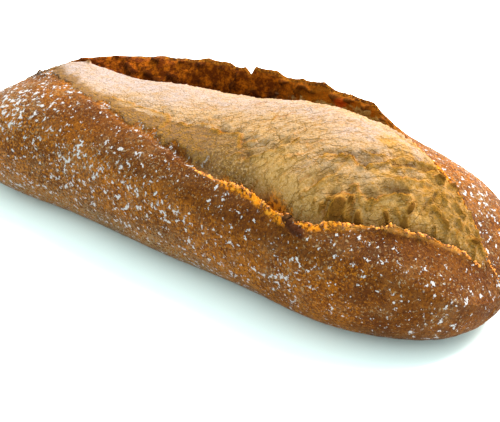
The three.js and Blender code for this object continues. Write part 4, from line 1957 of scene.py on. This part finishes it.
@dataclass(frozen=True)
class BakedBread:
    """All of the loaf's finishes in one material, laid out by the marks on its skin.

    Attributes:
        crust: the crust's finish.
        flour: the flour on it.
        crumb: the torn crumb.
        ear: the ear's inner face.
        rim: the crisp rims.
        marks: the marks that it reads.
        fray: what frays the border between crust and crumb.
        grain: the fine grain of both.
        drawn_out: how the crumb's pattern is drawn out along X, across the strands and along Z.
        dried: how much creases, with their relief and painted shade, show where the crumb is fresh.
        relief: height of the finest relief, in metres.
        ior: that of starch and dry crust.
        shine: a dry crust's, which is nearly none.
    """

    crust: WheatCrust
    flour: OvenFlour
    crumb: TornCrumb
    ear: EarFace
    rim: CrispRim
    name: str = "baked_bread"
    marks: tuple[str, ...] = (
        *("torn", "toast", "edge", "under", "deep", "strand", "beside", "crossed"),
        *("shaded_side", "dry", "warm", "pocket", "ear", "pore", "glow", "crisp", "flour", "net", "brown"),
    )
    fray: Mottle = Mottle(1.6, detail=3, roughness=0.7, seed=12.4)
    grain: Mottle = Mottle(1.0, detail=3, roughness=0.72, seed=13.9)
    drawn_out: tuple[float, float, float] = (0.45, 0.8, 0.6)
    dried: float = 0.42
    relief: float = 0.001
    ior: float = 1.45
    shine: float = 0.03

    def material(self) -> bpy.types.Material:
        """Builds the material.

        Returns:
            The material, ready to wear.
        """
        material = bpy.data.materials.new(self.name)
        material.use_nodes = True
        tree = material.node_tree
        tree.nodes.clear()
        place = add_node(tree, "ShaderNodeTexCoord").outputs["Object"]
        marks = {
            name: add_node(tree, "ShaderNodeAttribute", attribute_name=name).outputs["Fac"]
            for name in self.marks
        }
        axes = add_node(tree, "ShaderNodeSeparateXYZ", {0: place}).outputs
        strand = add_node(
            tree, "ShaderNodeMath", {0: marks["strand"], 1: METRES}, operation="MULTIPLY"
        )
        drawn = add_node(tree, "ShaderNodeCombineXYZ", {0: axes["X"], 1: strand, 2: axes["Z"]})
        drawn = add_node(
            tree, "ShaderNodeVectorMath", {0: drawn, 1: self.drawn_out}, operation="MULTIPLY"
        )

        crust = self.crust.colour(tree, place, marks["brown"])
        crust, flecks = self.flour.cover(tree, place, crust, marks["flour"], marks["net"])
        dried = add_node(
            tree, "ShaderNodeMath", {0: marks["toast"], 1: self.dried}, operation="ADD", use_clamp=True
        )
        creases = {0: self.crumb.creases(tree, drawn), 1: dried}
        creases = add_node(tree, "ShaderNodeMath", creases, operation="MULTIPLY")
        crumb = self.crumb.colour(tree, place, drawn, creases, marks)
        fray = self.fray.noise(tree, place)
        frayed = add_node(
            tree, "ShaderNodeMath", {0: fray, 1: 0.5, 2: marks["torn"]}, operation="MULTIPLY_ADD"
        )
        torn = Span(0.38, 1.1).mask(tree, frayed)
        rim_edge = add_node(
            tree, "ShaderNodeMath", {0: fray, 1: 0.5, 2: marks["crisp"]}, operation="MULTIPLY_ADD"
        )
        parts = (
            (torn, crumb),
            (Span(0.3, 0.7).mask(tree, marks["ear"]), self.ear.colour(tree, place, marks)),
            (Span(0.55, 0.95, 0.9).mask(tree, rim_edge), self.rim.colour(tree, place)),
            # painted shade inside the pocket under the near lip
            (Span(0.2, 0.8, 0.9).mask(tree, marks["pocket"]), self.rim.pocket),
        )
        colour = lay_coats(tree, crust, parts)

        fibre = self.crumb.fibre.noise(tree, drawn)
        grain = self.grain.noise(tree, place)
        crust_relief = add_node(
            tree, "ShaderNodeMath", {0: flecks, 1: 0.3, 2: grain}, operation="MULTIPLY_ADD"
        )
        crumb_relief = add_node(
            tree, "ShaderNodeMath", {0: fibre, 1: 0.5, 2: grain}, operation="MULTIPLY_ADD"
        )
        crumb_relief = add_node(
            tree, "ShaderNodeMath", {0: creases, 1: -0.5, 2: crumb_relief}, operation="MULTIPLY_ADD"
        )
        height = add_node(tree, "ShaderNodeMix", {"Factor": torn, "A": crust_relief, "B": crumb_relief})
        bump = add_node(
            tree, "ShaderNodeBump", {"Strength": 1.0, "Distance": self.relief, "Height": height}
        )
        gloss = {"Factor": torn, "A": self.crust.roughness, "B": self.crumb.roughness}
        surface = add_node(
            tree,
            "ShaderNodeBsdfPrincipled",
            {
                "Base Color": colour,
                "Roughness": add_node(tree, "ShaderNodeMix", gloss),
                "IOR": self.ior,
                "Specular IOR Level": self.shine,
                "Normal": bump,
            },
        )
        add_node(tree, "ShaderNodeOutputMaterial", {"Surface": surface})
        return material


# ---------------------------------------------------------------------------------------------
# The studio
# ---------------------------------------------------------------------------------------------


@dataclass(frozen=True)
class SoftBox:
    """A soft square light: where it stands and looks, in metres, its size, colour and power."""

    name: str
    at: tuple[float, float, float]
    aim: tuple[float, float, float]
    side: float
    watts: float
    colour: str

    def build(self) -> bpy.types.Object:
        """Hangs the light.

        Returns:
            The lamp.
        """
        light = bpy.data.lights.new(self.name, "AREA")
        light.shape, light.size, light.energy = "SQUARE", self.side, self.watts
        light.color = linear(self.colour)[:3]
        lamp = bpy.data.objects.new(self.name, light)
        lamp.location = self.at
        lamp.rotation_euler = (Vector(self.aim) - Vector(self.at)).to_track_quat("-Z", "Y").to_euler()
        bpy.context.scene.collection.objects.link(lamp)
        return lamp


@dataclass
class Studio:
    """A pale floor, soft light from behind and above, and the photograph's point of view.

    Attributes:
        azimuth: the camera's turn round the loaf, in degrees, from looking along +Y.
        elevation: its height above the horizon, in degrees.
        distance: from the camera to what it looks at, in metres.
        aim: what it looks at, in metres.
        focal: its focal length in millimetres.
        sensor: width of its sensor in millimetres.
        near_clip: the nearest that it sees, in metres.
        floor_side: side of the square floor, in metres.
        floor_gap: how far the floor lies below the loaf's base, in metres.
        floor_roughness: a matt board's.
        world_strength: how bright the air is.
        lights: the lamps.
    """

    azimuth: float = 36.0
    elevation: float = 30.0
    distance: float = 0.4838
    aim: tuple[float, float, float] = (0.0222, 0.0, 0.0157)
    focal: float = 72.0
    sensor: float = 36.0
    near_clip: float = 0.02
    floor_side: float = 8.0
    floor_gap: float = 0.0002
    floor_roughness: float = 0.7
    floor_colour: str = "F6F9F8"
    world_colour: str = "E6FFFE"
    world_strength: float = 1.95
    lights: tuple[SoftBox, ...] = (
        SoftBox("key", (0.20, 0.74, 1.06), (0.02, 0.0, 0.04), 1.1, 84.0, "FFFAF2"),
    )

    def floor(self) -> bpy.types.Object:
        """Lays the floor under the loaf's base.

        Returns:
            The floor.
        """
        half = self.floor_side / 2
        corners = [(-half, -half), (half, -half), (half, half), (-half, half)]
        mesh = bpy.data.meshes.new("floor")
        mesh.from_pydata([(x, y, -self.floor_gap) for x, y in corners], [], [(0, 1, 2, 3)])
        board = bpy.data.objects.new("floor", mesh)
        bpy.context.scene.collection.objects.link(board)
        material = bpy.data.materials.new("studio_floor")
        material.use_nodes = True
        surface = material.node_tree.nodes["Principled BSDF"]
        surface.inputs["Base Color"].default_value = linear(self.floor_colour)
        surface.inputs["Roughness"].default_value = self.floor_roughness
        board.data.materials.append(material)
        return board

    def world(self) -> None:
        """Fills the air with even, faintly cool light."""
        world = bpy.data.worlds.new("studio_air")
        world.use_nodes = True
        background = world.node_tree.nodes["Background"]
        background.inputs["Color"].default_value = linear(self.world_colour)
        background.inputs["Strength"].default_value = self.world_strength
        bpy.context.scene.world = world

    def camera(self) -> bpy.types.Object:
        """Stands the camera where the photograph was taken from.

        Returns:
            The camera.
        """
        turn, tilt = math.radians(self.azimuth), math.radians(self.elevation)
        level = math.cos(tilt)
        back = Vector((math.sin(turn) * level, -math.cos(turn) * level, math.sin(tilt)))
        data = bpy.data.cameras.new("photo_view")
        data.lens, data.sensor_width = self.focal, self.sensor
        data.clip_start = self.near_clip
        camera = bpy.data.objects.new("photo_view", data)
        camera.location = Vector(self.aim) + back * self.distance
        camera.rotation_euler = (-back).to_track_quat("-Z", "Y").to_euler()
        bpy.context.scene.collection.objects.link(camera)
        bpy.context.scene.camera = camera
        return camera

    def build(self) -> None:
        """Sets up floor, air, lights and camera, and the plain view transform."""
        self.floor()
        self.world()
        for light in self.lights:
            light.build()
        self.camera()
        bpy.context.scene.view_settings.view_transform = "Standard"


def main() -> None:
    """Builds the studio and the loaf, and reports each piece."""
    logging.basicConfig(level=logging.INFO, format="%(name)s: %(message)s")
    Studio().build()
    LOG.info("studio ready")
    finish = BakedBread(WheatCrust(), OvenFlour(), TornCrumb(), EarFace(), CrispRim()).material()
    loaf = Loaf(
        plain=PlainLoaf(),
        score=Score(),
        cutter=SkinCutter(),
        tears=Tears(),
        ear=EarTexture(),
        crust=CrustTexture(),
        rims=CrispRims(),
        baking=Baking(),
    )
    skin = loaf.skin()
    for piece in (loaf.build(skin, finish), LooseCrumbs().build(skin, CrispRim().crumbs())):
        size = (len(piece.data.vertices), len(piece.data.polygons))
        LOG.info("%s: %d points, %d faces", piece.name, *size)


if __name__ == "__main__":
    main()
